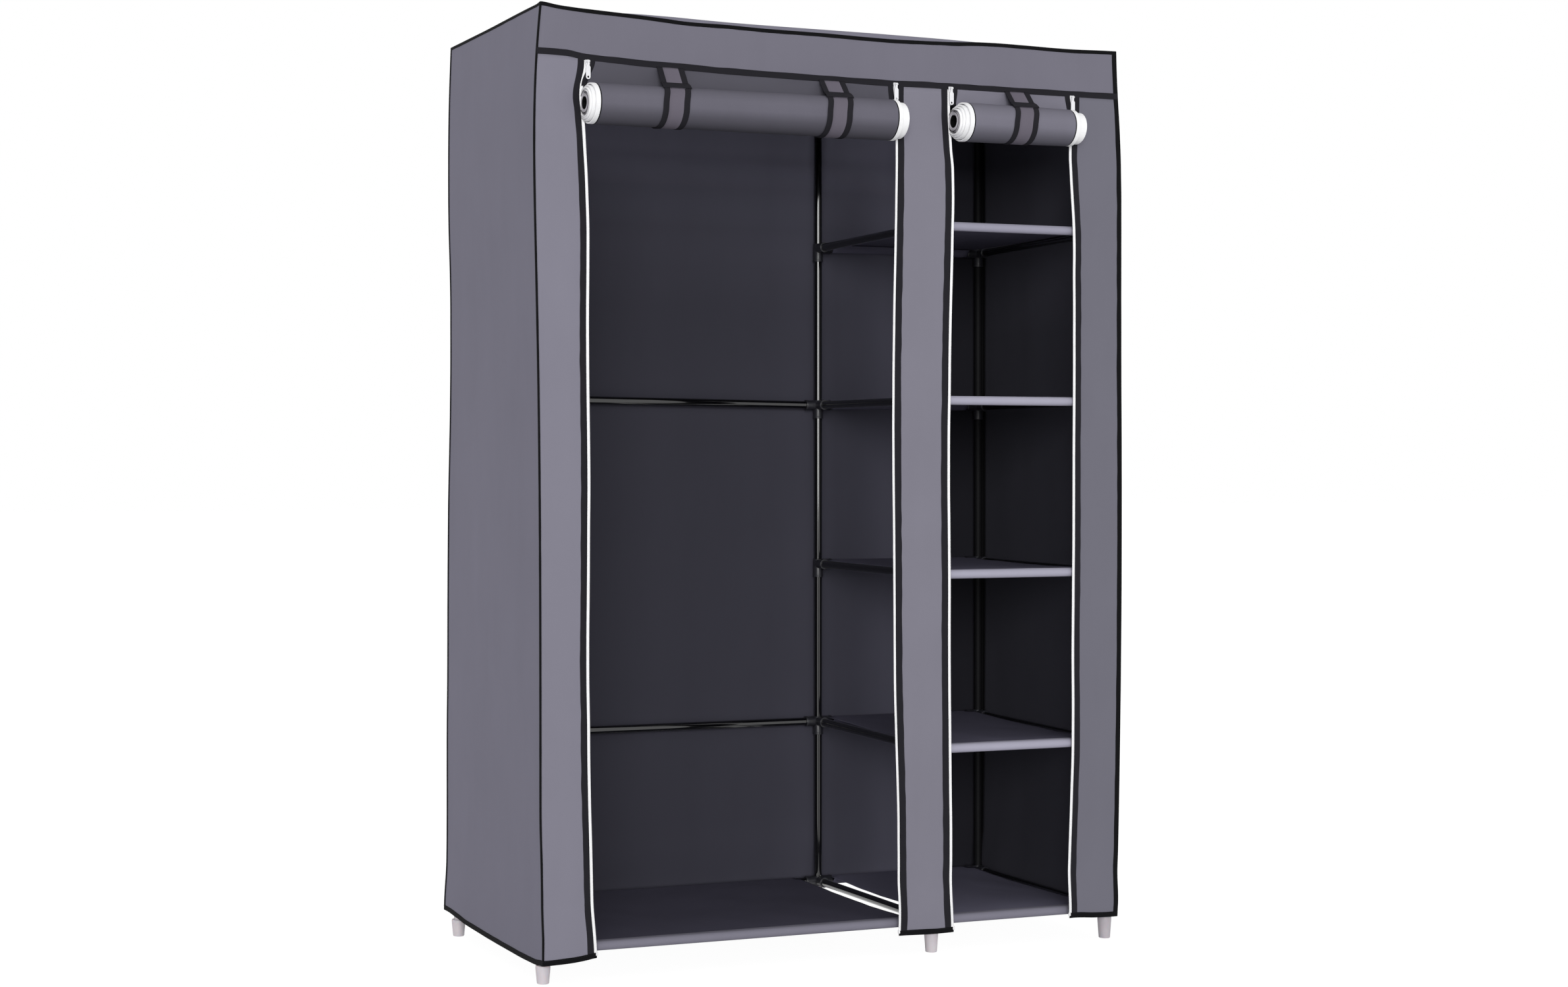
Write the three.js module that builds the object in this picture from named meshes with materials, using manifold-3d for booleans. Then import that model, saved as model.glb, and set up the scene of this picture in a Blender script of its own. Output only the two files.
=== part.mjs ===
// Portable fabric wardrobe: a frame of thin steel tubes pushed into plastic fittings,
// under one sewn cloth cover with a wide and a narrow zipped door, both shown rolled up.
// Millimetres, +Z up. While it is built, x runs from the left, y from the front and z from
// the floor, all from the front left corner; the last lines centre it over its footprint.
import * as THREE from 'three';
import { mergeVertices } from 'three/addons/utils/BufferGeometryUtils.js';
import Module from 'manifold-3d';

const wasm = await Module();
wasm.setup();

// Overall size of the cover
const width = 1200;
const depth = 500;
const height = 1750;

// Steel tubes
const tubeDiameter = 16;
const tubeWall = 0.8;
const tubeSides = 10;
const tierCount = 5;
const bottomLevel = 60;
const rightBayWidth = 383;

// Plastic fittings that the tubes push into
const sleeveWall = 1.7;
const socketReach = 30;
const sleeveDrop = 28;
const sleeveRise = 10;
const bottomSleeveDrop = 10;
const capRise = 25;
const capThickness = 3;
const couplingLength = 40;
const railInsertion = 18;
const pushClearance = 0.3;

// Hanging rail and the clamps that hold it to the top tubes
const clampWall = 2.2;
const clampLength = 24;

// Foot caps
const footWall = 5.2;
const footTaper = 2.5;
const footTaperHeight = 36;
const footEdge = 1.2;
const footFloor = 6;
const footSides = 16;

// Cloth of the cover
const clothThickness = 1.2;
const seamGap = 0.3;
const coverEase = 4;
const leftPeak = 12;
const leftPeakLength = 90;
const crownEase = 1.5;
const crownSag = 10;
const seamDip = 10;
const sideBulge = 12;
const cornerReach = 84;
const hemFlare = 12;
const flareHeight = 68;
const hemFrontLeft = 32;
const hemFrontRight = 48;
const hemBackLeft = 48;
const hemBackRight = 50;
const headerHeight = 90;

// Front flaps, from the corner or the middle post to the line of the zip beside them;
// the leftmost zip leans, and its foot stands further to the right than its head
const leftFlapWidth = 90;
const leftZipLean = 17;
const rightFlapWidth = 96;
const leftZipSetback = 86;
const rightZipSetback = 33;

// Cloth shelves with a sleeve round the front and the back tube
const shelfSideGap = 9;
const shelfSag = 4;
const shelfNotchEase = 3;
const sleeveSides = 10;
const sheetSteps = 6;

// Doors, rolled up in front of the flaps
const rollRadius = 35;
const rollCoreRadius = 5;
const rollTurns = 9;
const rollStepsPerTurn = 16;
const rollStagger = 5;
const hangLength = 36;
const rollStandoff = 0.5;

// Straps with hook and loop that hold the rolls
const strapWidth = 50;
const strapThickness = 1;
const strapInset = 147;
const strapSteps = 16;
const strapSeam = 12;
const tabLap = 10;
const tabOverhang = 8.5;

// Zips
const tapeWidth = 5;
const teethGap = 0.3;
const sliderGap = 4;
const sliderLength = 12;
const sliderWidth = 9;
const sliderTailWidth = 6.4;
const sliderPlate = 2;
const sliderPlay = 0.4;
const sliderClearance = 2;
const bailRadius = 0.8;
const earThickness = 1;
const earRadius = 1.6;
const knuckleRadius = 2;
const knucklePlay = 0.4;
const pullLength = 32;
const pullWidth = 8.5;
const pullNeckLength = 6;
const pullThickness = 1.2;
const pullHoleDiameter = 4;
const pullEndSteps = 6;

// How far a cut runs past what it cuts, and the distance at which corners are one
const overrun = 1;
const weldDistance = 0.0001;

// Shares of the height where the left and right sides of the cover swell most,
// and the share of a front corner's swelling that the corner behind it has
const leftBulgeShare = 0.86;
const rightBulgeShare = 0.5;
const backBulgeShare = 0.45;

// Shares of a cloth panel's width, depth or height where it bends
const widthShares = [0, 0.07, 0.16, 0.28, 0.42, 0.56, 0.67, 0.8, 0.93, 1];
const depthShares = [0.12, 0.31, 0.5, 0.69, 0.88];
const heightShares = [0, 0.02, 0.05, 0.2, 0.4, 0.6, 0.75, 0.85, 0.93, 1];
const topSeamShare = 2;
const wallRowShares = [...heightShares, topSeamShare];
const edgeShares = [0, 1];

// Share of a slider's length that its wide shoulders take
const shoulderShare = 0.33;

// Places worked out from the sizes
const tubeRadius = tubeDiameter / 2;
const boreRadius = tubeRadius + pushClearance;
const sleeveRadius = boreRadius + sleeveWall;
const clampRadius = boreRadius + clampWall;
const postInset = clothThickness + coverEase + sleeveRadius;
const leftPostX = postInset;
const rightPostX = width - postInset;
const middlePostX = rightPostX - rightBayWidth;
const frontPostY = postInset;
const backPostY = depth - postInset;
const crownHeight = height - leftPeak;
const capTop = crownHeight - crownEase - clothThickness - seamGap;
const topLevel = capTop - capRise;
const tierHeight = (topLevel - bottomLevel) / tierCount;
const footTop = bottomLevel - bottomSleeveDrop - pushClearance;
const postBottom = footFloor + pushClearance;
const postTop = capTop - capThickness - pushClearance;
const leftZipX = leftFlapWidth;
const middleLeftZipX = middlePostX - leftZipSetback;
const middleRightZipX = middlePostX + rightZipSetback;
const rightZipX = width - rightFlapWidth;
const rollAxisY = -rollStandoff - rollRadius;
const rollAxisZ = crownHeight - headerHeight - hangLength - rollRadius;
const behindFront = clothThickness + seamGap;
const knuckleHalf = sliderTailWidth / 2 - earThickness - knucklePlay;

const frontLeftPost = { x: leftPostX, y: frontPostY };
const frontMiddlePost = { x: middlePostX, y: frontPostY };
const frontRightPost = { x: rightPostX, y: frontPostY };
const backLeftPost = { x: leftPostX, y: backPostY };
const backMiddlePost = { x: middlePostX, y: backPostY };
const backRightPost = { x: rightPostX, y: backPostY };

const blackTube = new THREE.MeshStandardMaterial({ color: 0x151518, roughness: 0.28, metalness: 0.6 });
const paleFoot = new THREE.MeshStandardMaterial({ color: 0xd0c8ce, roughness: 0.5 });
const greyCloth = new THREE.MeshStandardMaterial({ color: 0x716f7d, roughness: 0.95 });
const shelfCloth = new THREE.MeshStandardMaterial({ color: 0x777585, roughness: 0.95 });
const doorCloth = new THREE.MeshStandardMaterial({ color: 0x7b7987, roughness: 0.95 });
const strapCloth = new THREE.MeshStandardMaterial({ color: 0x5a5864, roughness: 0.95 });
const whiteTape = new THREE.MeshStandardMaterial({ color: 0xf2f2f4, roughness: 0.7 });
const whiteMetal = new THREE.MeshStandardMaterial({ color: 0xe9e9ec, roughness: 0.4, metalness: 0.3 });

const group = new THREE.Group();

function addPiece(name, geometry, material) {
  const mesh = new THREE.Mesh(geometry, material);
  mesh.name = name;
  group.add(mesh);
}

// Solids for joining and cutting

function toSolid(geometry) {
  const bare = geometry.clone();
  bare.deleteAttribute('normal');
  bare.deleteAttribute('uv');
  const merged = mergeVertices(bare, weldDistance);
  const vertProperties = new Float32Array(merged.attributes.position.array);
  const triVerts = new Uint32Array(merged.index.array);
  return new wasm.Manifold(new wasm.Mesh({ numProp: 3, vertProperties, triVerts }));
}

function toGeometry(solid) {
  const { vertProperties, triVerts } = solid.getMesh();
  const geometry = new THREE.BufferGeometry();
  geometry.setAttribute('position', new THREE.BufferAttribute(vertProperties, 3));
  geometry.setIndex(new THREE.BufferAttribute(triVerts, 1));
  return geometry;
}

function joined(solids) {
  return solids.reduce((whole, piece) => whole.add(piece));
}

// Turns a shape that stands along +Y so that it stands along the named axis
function turnAlong(geometry, axis) {
  const unitX = new THREE.Vector3(1, 0, 0);
  const unitY = new THREE.Vector3(0, 1, 0);
  const unitZ = new THREE.Vector3(0, 0, 1);
  const bases = {
    x: [unitZ, unitX, unitY],
    y: [unitX, unitY, unitZ],
    z: [unitY, unitZ, unitX],
  };
  return geometry.applyMatrix4(new THREE.Matrix4().makeBasis(...bases[axis]));
}

// A round bar along an axis, from one value of that axis to another, through a point
function bar(axis, from, to, through, radius, sides = tubeSides) {
  const geometry = new THREE.CylinderGeometry(radius, radius, Math.abs(to - from), sides);
  turnAlong(geometry, axis);
  const centre = new THREE.Vector3(through.x ?? 0, through.y ?? 0, through.z ?? 0);
  centre[axis] = (from + to) / 2;
  geometry.translate(centre.x, centre.y, centre.z);
  return toSolid(geometry);
}

function block(low, high) {
  const size = high.clone().sub(low);
  const middle = low.clone().add(high).divideScalar(2);
  const geometry = new THREE.BoxGeometry(size.x, size.y, size.z);
  geometry.translate(middle.x, middle.y, middle.z);
  return toSolid(geometry);
}

// A closed outline in y and z, drawn out along x
function drawnAlongX(points, fromX, toX, holes = []) {
  const shape = new THREE.Shape(points);
  shape.holes = holes.map((hole) => new THREE.Path(hole));
  const geometry = new THREE.ExtrudeGeometry(shape, { depth: toX - fromX, bevelEnabled: false });
  const unitX = new THREE.Vector3(1, 0, 0);
  const unitY = new THREE.Vector3(0, 1, 0);
  const unitZ = new THREE.Vector3(0, 0, 1);
  geometry.applyMatrix4(new THREE.Matrix4().makeBasis(unitY, unitZ, unitX));
  geometry.translate(fromX, 0, 0);
  return geometry;
}

// A closed outline in x and z, drawn out towards the back
function drawnAlongY(points, fromY, toY) {
  const shape = new THREE.Shape(points);
  const geometry = new THREE.ExtrudeGeometry(shape, { depth: toY - fromY, bevelEnabled: false });
  geometry.rotateX(Math.PI / 2);
  geometry.translate(0, toY, 0);
  return geometry;
}

function arc(centreU, centreV, radius, fromAngle, toAngle, steps) {
  return Array.from({ length: steps + 1 }, (_, step) => {
    const angle = THREE.MathUtils.lerp(fromAngle, toAngle, step / steps);
    return new THREE.Vector2(centreU + radius * Math.cos(angle), centreV + radius * Math.sin(angle));
  });
}

// Tube frame

function postGeometry(couplingLevels) {
  const half = couplingLength / 2;
  const collars = couplingLevels.flatMap((level) => [
    new THREE.Vector2(tubeRadius, level - half),
    new THREE.Vector2(sleeveRadius, level - half),
    new THREE.Vector2(sleeveRadius, level + half),
    new THREE.Vector2(tubeRadius, level + half),
  ]);
  const profile = [
    new THREE.Vector2(tubeRadius - tubeWall, postBottom),
    new THREE.Vector2(tubeRadius, postBottom),
    ...collars,
    new THREE.Vector2(tubeRadius, postTop),
    new THREE.Vector2(tubeRadius - tubeWall, postTop),
    new THREE.Vector2(tubeRadius - tubeWall, postBottom),
  ];
  return turnAlong(new THREE.LatheGeometry(profile, tubeSides), 'z');
}

function levelAt(tier) {
  return bottomLevel + tier * tierHeight;
}

// The upright sleeve of a fitting, and the bore that the post passes through
function fittingSleeve(post, level, drop, rise) {
  return bar('z', level - drop, level + rise, post, sleeveRadius);
}

function fittingBore(post, level, drop, rise) {
  return bar('z', level - drop, level + rise, post, boreRadius);
}

// The tubes of one level, each with the socket of a fitting round both of its ends
function levelTubes(tubes, level) {
  return tubes.flatMap(([first, second]) => {
    const axis = first.y === second.y ? 'x' : 'y';
    const through = { x: first.x, y: first.y, z: level };
    return [
      bar(axis, first[axis], second[axis], through, tubeRadius),
      bar(axis, first[axis], first[axis] + socketReach, through, sleeveRadius),
      bar(axis, second[axis] - socketReach, second[axis], through, sleeveRadius),
    ];
  });
}

// An empty socket that a separate back rail pushes into: its outside and its bore
function emptySocket(post, level, direction) {
  const mouth = post.x + direction * socketReach;
  const stop = mouth - direction * railInsertion;
  const through = { y: post.y, z: level };
  return {
    outside: bar('x', post.x, mouth, through, sleeveRadius),
    bore: bar('x', stop, mouth + direction * overrun, through, boreRadius),
  };
}

function railFrame(tier, tubes, sockets = []) {
  const level = levelAt(tier);
  const isTop = tier === tierCount;
  const drop = tier === 0 ? bottomSleeveDrop : sleeveDrop;
  const rise = isTop ? capRise : sleeveRise;
  const boreRise = isTop ? capRise - capThickness : sleeveRise + overrun;
  const posts = [...new Set(tubes.flat())];
  const solids = [
    ...posts.map((post) => fittingSleeve(post, level, drop, rise)),
    ...levelTubes(tubes, level),
    ...sockets.map((socket) => socket.outside),
  ];
  const bores = [
    ...posts.map((post) => fittingBore(post, level, drop + overrun, boreRise)),
    ...sockets.map((socket) => socket.bore),
  ];
  return toGeometry(joined(solids).subtract(joined(bores)));
}

// An open tube between the empty sockets of the left and the middle back post
function backRailGeometry(level) {
  const inset = socketReach - railInsertion + pushClearance;
  const length = middlePostX - leftPostX - 2 * inset;
  const profile = [
    new THREE.Vector2(tubeRadius - tubeWall, 0),
    new THREE.Vector2(tubeRadius, 0),
    new THREE.Vector2(tubeRadius, length),
    new THREE.Vector2(tubeRadius - tubeWall, length),
    new THREE.Vector2(tubeRadius - tubeWall, 0),
  ];
  const tube = turnAlong(new THREE.LatheGeometry(profile, tubeSides), 'x');
  return tube.translate(leftPostX + inset, backPostY, level);
}

function addFrame() {
  const leftCouplings = [levelAt(2), levelAt(4)];
  const posts = {
    post_front_left: [frontLeftPost, leftCouplings],
    post_front_middle: [frontMiddlePost, []],
    post_front_right: [frontRightPost, []],
    post_back_left: [backLeftPost, leftCouplings],
    post_back_middle: [backMiddlePost, []],
    post_back_right: [backRightPost, []],
  };
  for (const [name, [post, couplings]] of Object.entries(posts)) {
    addPiece(name, postGeometry(couplings).translate(post.x, post.y, 0), blackTube);
  }

  const rightBayTubes = [
    [frontMiddlePost, frontRightPost],
    [backMiddlePost, backRightPost],
    [frontMiddlePost, backMiddlePost],
    [frontRightPost, backRightPost],
  ];
  const bothBayTubes = [
    ...rightBayTubes,
    [frontLeftPost, frontMiddlePost],
    [backLeftPost, backMiddlePost],
    [frontLeftPost, backLeftPost],
  ];
  const backRailTiers = [1, 3];
  for (let tier = 0; tier <= tierCount; tier += 1) {
    const isEnd = tier === 0 || tier === tierCount;
    const sockets = backRailTiers.includes(tier) ? [emptySocket(backMiddlePost, levelAt(tier), -1)] : [];
    const tubes = isEnd ? bothBayTubes : rightBayTubes;
    addPiece(`rail_frame_${tier}`, railFrame(tier, tubes, sockets), blackTube);
  }
  for (const tier of backRailTiers) {
    const level = levelAt(tier);
    const corner = emptySocket(backLeftPost, level, 1);
    const place = tier === backRailTiers[0] ? 'lower' : 'upper';
    const sideRail = railFrame(tier, [[frontLeftPost, backLeftPost]], [corner]);
    addPiece(`left_side_rail_${place}`, sideRail, blackTube);
    addPiece(`back_rail_${place}`, backRailGeometry(level), blackTube);
  }
}

// The hanging rail clamps round the top tubes that run from front to back
function addHangingRail() {
  const middleY = depth / 2;
  const through = { y: middleY, z: topLevel };
  const clamps = [leftPostX, middlePostX].map((x) => {
    return bar('y', middleY - clampLength / 2, middleY + clampLength / 2, { x, z: topLevel }, clampRadius);
  });
  const sockets = [
    bar('x', leftPostX, leftPostX + socketReach, through, sleeveRadius),
    bar('x', middlePostX - socketReach, middlePostX, through, sleeveRadius),
  ];
  const rail = bar('x', leftPostX, middlePostX, through, tubeRadius);
  const cutHalf = clampLength / 2 + overrun;
  const bores = [leftPostX, middlePostX].map((x) => {
    return bar('y', middleY - cutHalf, middleY + cutHalf, { x, z: topLevel }, boreRadius);
  });
  const solid = joined([rail, ...clamps, ...sockets]).subtract(joined(bores));
  addPiece('hanging_rail', toGeometry(solid), blackTube);
}

function addFeet() {
  const top = boreRadius + footWall;
  const bottom = top - footTaper;
  const profile = [
    new THREE.Vector2(0, 0),
    new THREE.Vector2(bottom - footEdge, 0),
    new THREE.Vector2(bottom, footEdge),
    new THREE.Vector2(top, footTaperHeight),
    new THREE.Vector2(top, footTop - footEdge),
    new THREE.Vector2(top - footEdge, footTop),
    new THREE.Vector2(boreRadius, footTop),
    new THREE.Vector2(boreRadius, footFloor),
    new THREE.Vector2(0, footFloor),
  ];
  const feet = {
    foot_front_left: frontLeftPost,
    foot_front_middle: frontMiddlePost,
    foot_front_right: frontRightPost,
    foot_back_left: backLeftPost,
    foot_back_middle: backMiddlePost,
    foot_back_right: backRightPost,
  };
  for (const [name, post] of Object.entries(feet)) {
    const cap = turnAlong(new THREE.LatheGeometry(profile, footSides), 'z');
    addPiece(name, cap.translate(post.x, post.y, 0), paleFoot);
  }
}

// Cloth shelves: a sheet that sags a little between two sleeves

function shelfOutline(level, front, back) {
  const outer = boreRadius + clothThickness;
  const leave = Math.asin(boreRadius / outer);
  const turn = 2 * Math.PI;
  const sag = (y) => shelfSag * Math.sin((Math.PI * (y - front)) / (back - front));
  const stations = Array.from({ length: sheetSteps - 1 }, (_, step) => {
    return THREE.MathUtils.lerp(front, back, (step + 1) / sheetSteps);
  });
  const over = stations.map((y) => new THREE.Vector2(y, level + outer - sag(y)));
  const under = stations.map((y) => new THREE.Vector2(y, level + boreRadius - sag(y)));
  return [
    ...arc(front, level, outer, leave, Math.PI / 2 - turn, sleeveSides),
    ...over,
    ...arc(back, level, outer, Math.PI / 2, Math.PI - leave - turn, sleeveSides),
    ...under.reverse(),
  ];
}

function shelfGeometry(tier, fromX, toX) {
  const level = levelAt(tier);
  const outer = boreRadius + clothThickness;
  const holes = [frontPostY, backPostY].map((y) => {
    return arc(y, level, boreRadius, 0, 2 * Math.PI, tubeSides).slice(0, tubeSides);
  });
  const left = fromX + tubeRadius + shelfSideGap;
  const right = toX - tubeRadius - shelfSideGap;
  const outline = shelfOutline(level, frontPostY, backPostY);
  const whole = toSolid(drawnAlongX(outline, left, right, holes));
  const sleeveInset = socketReach + seamGap - tubeRadius - shelfSideGap;
  const notches = [frontPostY, backPostY].flatMap((y) => [
    [left - overrun, left + sleeveInset],
    [right - sleeveInset, right + overrun],
  ].map(([low, high]) => block(
    new THREE.Vector3(low, y - sleeveRadius - shelfNotchEase, level - outer - overrun),
    new THREE.Vector3(high, y + sleeveRadius + shelfNotchEase, level + outer + overrun),
  )));
  return toGeometry(whole.subtract(joined(notches)));
}

function addShelves() {
  for (let tier = 0; tier < tierCount; tier += 1) {
    addPiece(`right_shelf_${tier + 1}`, shelfGeometry(tier, middlePostX, rightPostX), shelfCloth);
  }
  addPiece('left_bottom_shelf', shelfGeometry(0, leftPostX, middlePostX), shelfCloth);
}

// Cloth cover

// A hump from 0 through 1 at the peak and back to 0
function hump(share, peakShare) {
  return Math.sin(Math.PI * share ** (-Math.LN2 / Math.log(peakShare)));
}

function hemHeight(x, y) {
  const front = THREE.MathUtils.lerp(hemFrontLeft, hemFrontRight, x / width);
  const back = THREE.MathUtils.lerp(hemBackLeft, hemBackRight, x / width);
  return THREE.MathUtils.lerp(front, back, y / depth);
}

// The upper face of the cloth top: it peaks along the left side, sags in the middle,
// and dips at the seams along the front and the back
function topHeight(x, y) {
  const ridge = crownHeight + leftPeak * Math.exp(-x / leftPeakLength);
  const sag = crownSag * Math.sin((Math.PI * x) / width) * Math.sin((Math.PI * y) / depth);
  const fromEdge = Math.min(y, depth - y);
  const across = (2 * x) / width - 1;
  const dip = seamDip * (1 - across * across) * Math.max(0, 1 - fromEdge / coverEase);
  return ridge - sag - dip;
}

function headerBottom(x) {
  return THREE.MathUtils.lerp(height, crownHeight, x / width) - headerHeight;
}

// A row of a wall: up to 1 a share of the way from the hem to the header's lower edge,
// and past 1 the seam with the cloth top, so that rows of neighbouring walls meet
function wallHeight(x, y, rowShare) {
  if (rowShare > 1) {
    return topHeight(x, y) - clothThickness - seamGap;
  }
  return THREE.MathUtils.lerp(hemHeight(x, y), headerBottom(x) - seamGap, rowShare);
}

// Where a point of the flat pattern hangs: the sides swell out and the hem flares
function drape(x, y, z) {
  const rise = z / height;
  const backShare = y / depth;
  const bulge = sideBulge * THREE.MathUtils.lerp(1, backBulgeShare, backShare);
  const leftward = bulge * hump(rise, leftBulgeShare) * Math.max(0, 1 - x / cornerReach);
  const rightward = bulge * hump(rise, rightBulgeShare) * Math.max(0, 1 - (width - x) / cornerReach);
  const hem = hemHeight(x, y);
  const flare = hemFlare * THREE.MathUtils.smoothstep(flareHeight - z, 0, flareHeight - hem);
  return new THREE.Vector3(x + rightward - leftward, y - flare * (1 - 2 * backShare), z);
}

// A sheet of even thickness over a grid of places, closed all round
function clothSheet(columns, rows, place, inward) {
  const outer = rows.flatMap((row) => columns.map((column) => place(column, row)));
  const inner = outer.map((point) => point.clone().add(inward));
  const corner = (column, row) => row * columns.length + column;
  const quads = [];
  for (let row = 0; row < rows.length - 1; row += 1) {
    for (let column = 0; column < columns.length - 1; column += 1) {
      const quad = [corner(column, row), corner(column + 1, row)];
      quad.push(corner(column + 1, row + 1), corner(column, row + 1));
      quads.push(quad);
      quads.push(quad.map((index) => index + outer.length).reverse());
    }
  }
  const lastColumn = columns.length - 1;
  const lastRow = rows.length - 1;
  const rim = [
    ...columns.map((_, column) => corner(column, 0)),
    ...rows.slice(1).map((_, row) => corner(lastColumn, row + 1)),
    ...columns.slice(1).map((_, column) => corner(lastColumn - column - 1, lastRow)),
    ...rows.slice(1, -1).map((_, row) => corner(0, lastRow - row - 1)),
  ];
  rim.forEach((start, index) => {
    const end = rim[(index + 1) % rim.length];
    quads.push([end, start, start + outer.length, end + outer.length]);
  });
  return facedOut(closedMesh([...outer, ...inner], quads));
}

function closedMesh(points, quads) {
  const geometry = new THREE.BufferGeometry();
  geometry.setFromPoints(points);
  geometry.setIndex(quads.flatMap(([a, b, c, d]) => [a, b, c, a, c, d]));
  return geometry;
}

// Turns every face over if the mesh is inside out
function facedOut(geometry) {
  const position = geometry.attributes.position;
  const index = [...geometry.index.array];
  const corners = [new THREE.Vector3(), new THREE.Vector3(), new THREE.Vector3()];
  let volume = 0;
  for (let face = 0; face < index.length; face += 3) {
    corners.forEach((corner, step) => corner.fromBufferAttribute(position, index[face + step]));
    volume += corners[0].dot(corners[1].clone().cross(corners[2]));
  }
  if (volume < 0) {
    index.reverse();
    geometry.setIndex(index);
  }
  return geometry;
}

function addCover() {
  const towardBack = new THREE.Vector3(0, clothThickness, 0);
  const towardFront = new THREE.Vector3(0, -clothThickness, 0);
  const towardRight = new THREE.Vector3(clothThickness, 0, 0);
  const towardLeft = new THREE.Vector3(-clothThickness, 0, 0);
  const down = new THREE.Vector3(0, 0, -clothThickness);

  const topRows = [0, coverEase, ...depthShares.map((share) => share * depth), depth - coverEase, depth];
  const topPlace = (share, y) => {
    const x = share * width;
    return drape(x, y, topHeight(x, y));
  };
  addPiece('cover_top', clothSheet(widthShares, topRows, topPlace, down), greyCloth);

  const headerPlace = (share, rowShare) => {
    const x = share * width;
    return drape(x, 0, THREE.MathUtils.lerp(headerBottom(x), wallHeight(x, 0, topSeamShare), rowShare));
  };
  addPiece('cover_header', clothSheet(widthShares, edgeShares, headerPlace, towardBack), greyCloth);

  const backPlace = (share, rowShare) => {
    const x = share * width;
    return drape(x, depth, wallHeight(x, depth, rowShare));
  };
  addPiece('cover_back', clothSheet(widthShares, wallRowShares, backPlace, towardFront), greyCloth);

  const sideColumns = [behindFront, ...depthShares.map((share) => share * depth), depth - behindFront];
  const sidePlace = (x) => (y, rowShare) => drape(x, y, wallHeight(x, y, rowShare));
  const leftSide = clothSheet(sideColumns, wallRowShares, sidePlace(0), towardRight);
  addPiece('cover_left_side', leftSide, greyCloth);
  const rightSide = clothSheet(sideColumns, wallRowShares, sidePlace(width), towardLeft);
  addPiece('cover_right_side', rightSide, greyCloth);

  // Each edge of a strip of cloth has the place of its head, and how far its foot leans over
  const flapPlace = (left, right) => (share, rowShare) => {
    const head = THREE.MathUtils.lerp(left.head, right.head, share);
    const lean = THREE.MathUtils.lerp(left.lean, right.lean, share);
    const x = head + lean * (1 - rowShare);
    return drape(x, 0, wallHeight(x, 0, rowShare));
  };
  const edge = (head, lean = 0) => ({ head, lean });
  const tapeEdge = tapeWidth + seamGap;
  const flaps = {
    cover_left_flap: [edge(0), edge(leftZipX - tapeEdge, leftZipLean)],
    cover_centre_flap: [edge(middleLeftZipX + tapeEdge), edge(middleRightZipX - tapeEdge)],
    cover_right_flap: [edge(rightZipX + tapeEdge), edge(width)],
  };
  for (const [name, [left, right]] of Object.entries(flaps)) {
    const flap = clothSheet(edgeShares, heightShares, flapPlace(left, right), towardBack);
    addPiece(name, flap, greyCloth);
  }
  const tapes = {
    zip_tape_left_door_left: [
      edge(leftZipX - tapeWidth, leftZipLean),
      edge(leftZipX - teethGap, leftZipLean),
    ],
    zip_tape_left_door_right: [edge(middleLeftZipX + teethGap), edge(middleLeftZipX + tapeWidth)],
    zip_tape_right_door_left: [edge(middleRightZipX - tapeWidth), edge(middleRightZipX - teethGap)],
    zip_tape_right_door_right: [edge(rightZipX + teethGap), edge(rightZipX + tapeWidth)],
  };
  for (const [name, [left, right]] of Object.entries(tapes)) {
    const tape = clothSheet(edgeShares, heightShares, flapPlace(left, right), towardBack);
    addPiece(name, tape, whiteTape);
  }
}

// Doors: the cloth that hangs from the header, and the rest of it rolled up

// One spiral of cloth whose inner turns stand a little further out at both ends
function rollGeometry(fromX, toX) {
  const pitch = (rollRadius - clothThickness - rollCoreRadius) / rollTurns;
  const steps = rollTurns * rollStepsPerTurn;
  const points = [];
  for (let step = 0; step <= steps; step += 1) {
    const turn = step / rollStepsPerTurn;
    const angle = -2 * Math.PI * turn;
    const outer = rollRadius - pitch * turn;
    const stagger = rollStagger * (1 - step / steps);
    for (const radius of [outer, outer - clothThickness]) {
      const y = rollAxisY + radius * Math.cos(angle);
      const z = rollAxisZ + radius * Math.sin(angle);
      points.push(new THREE.Vector3(fromX + stagger, y, z));
      points.push(new THREE.Vector3(toX - stagger, y, z));
    }
  }
  const quads = [[0, 1, 3, 2]];
  for (let step = 0; step < steps; step += 1) {
    const here = 4 * step;
    const next = here + 4;
    quads.push([here, next, next + 1, here + 1]);
    quads.push([here + 2, here + 3, next + 3, next + 2]);
    quads.push([here, here + 2, next + 2, next]);
    quads.push([here + 1, next + 1, next + 3, here + 3]);
  }
  const end = 4 * steps;
  quads.push([end, end + 2, end + 3, end + 1]);
  console.log(`least gap between the turns of a roll: ${(pitch - clothThickness).toFixed(2)} mm`);
  return facedOut(closedMesh(points, quads));
}

function addDoor(name, fromZip, toZip) {
  const clear = sliderWidth / 2 + sliderClearance;
  const fromX = fromZip + clear;
  const toX = toZip - clear;
  addPiece(`${name}_roll`, rollGeometry(fromX, toX), doorCloth);
  const hangPlace = (share, rowShare) => {
    const x = THREE.MathUtils.lerp(fromX, toX, share);
    return new THREE.Vector3(x, 0, THREE.MathUtils.lerp(rollAxisZ, headerBottom(x) - seamGap, rowShare));
  };
  const inward = new THREE.Vector3(0, clothThickness, 0);
  addPiece(`${name}_upper_cloth`, clothSheet(widthShares, edgeShares, hangPlace, inward), doorCloth);
}

// Straps

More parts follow.
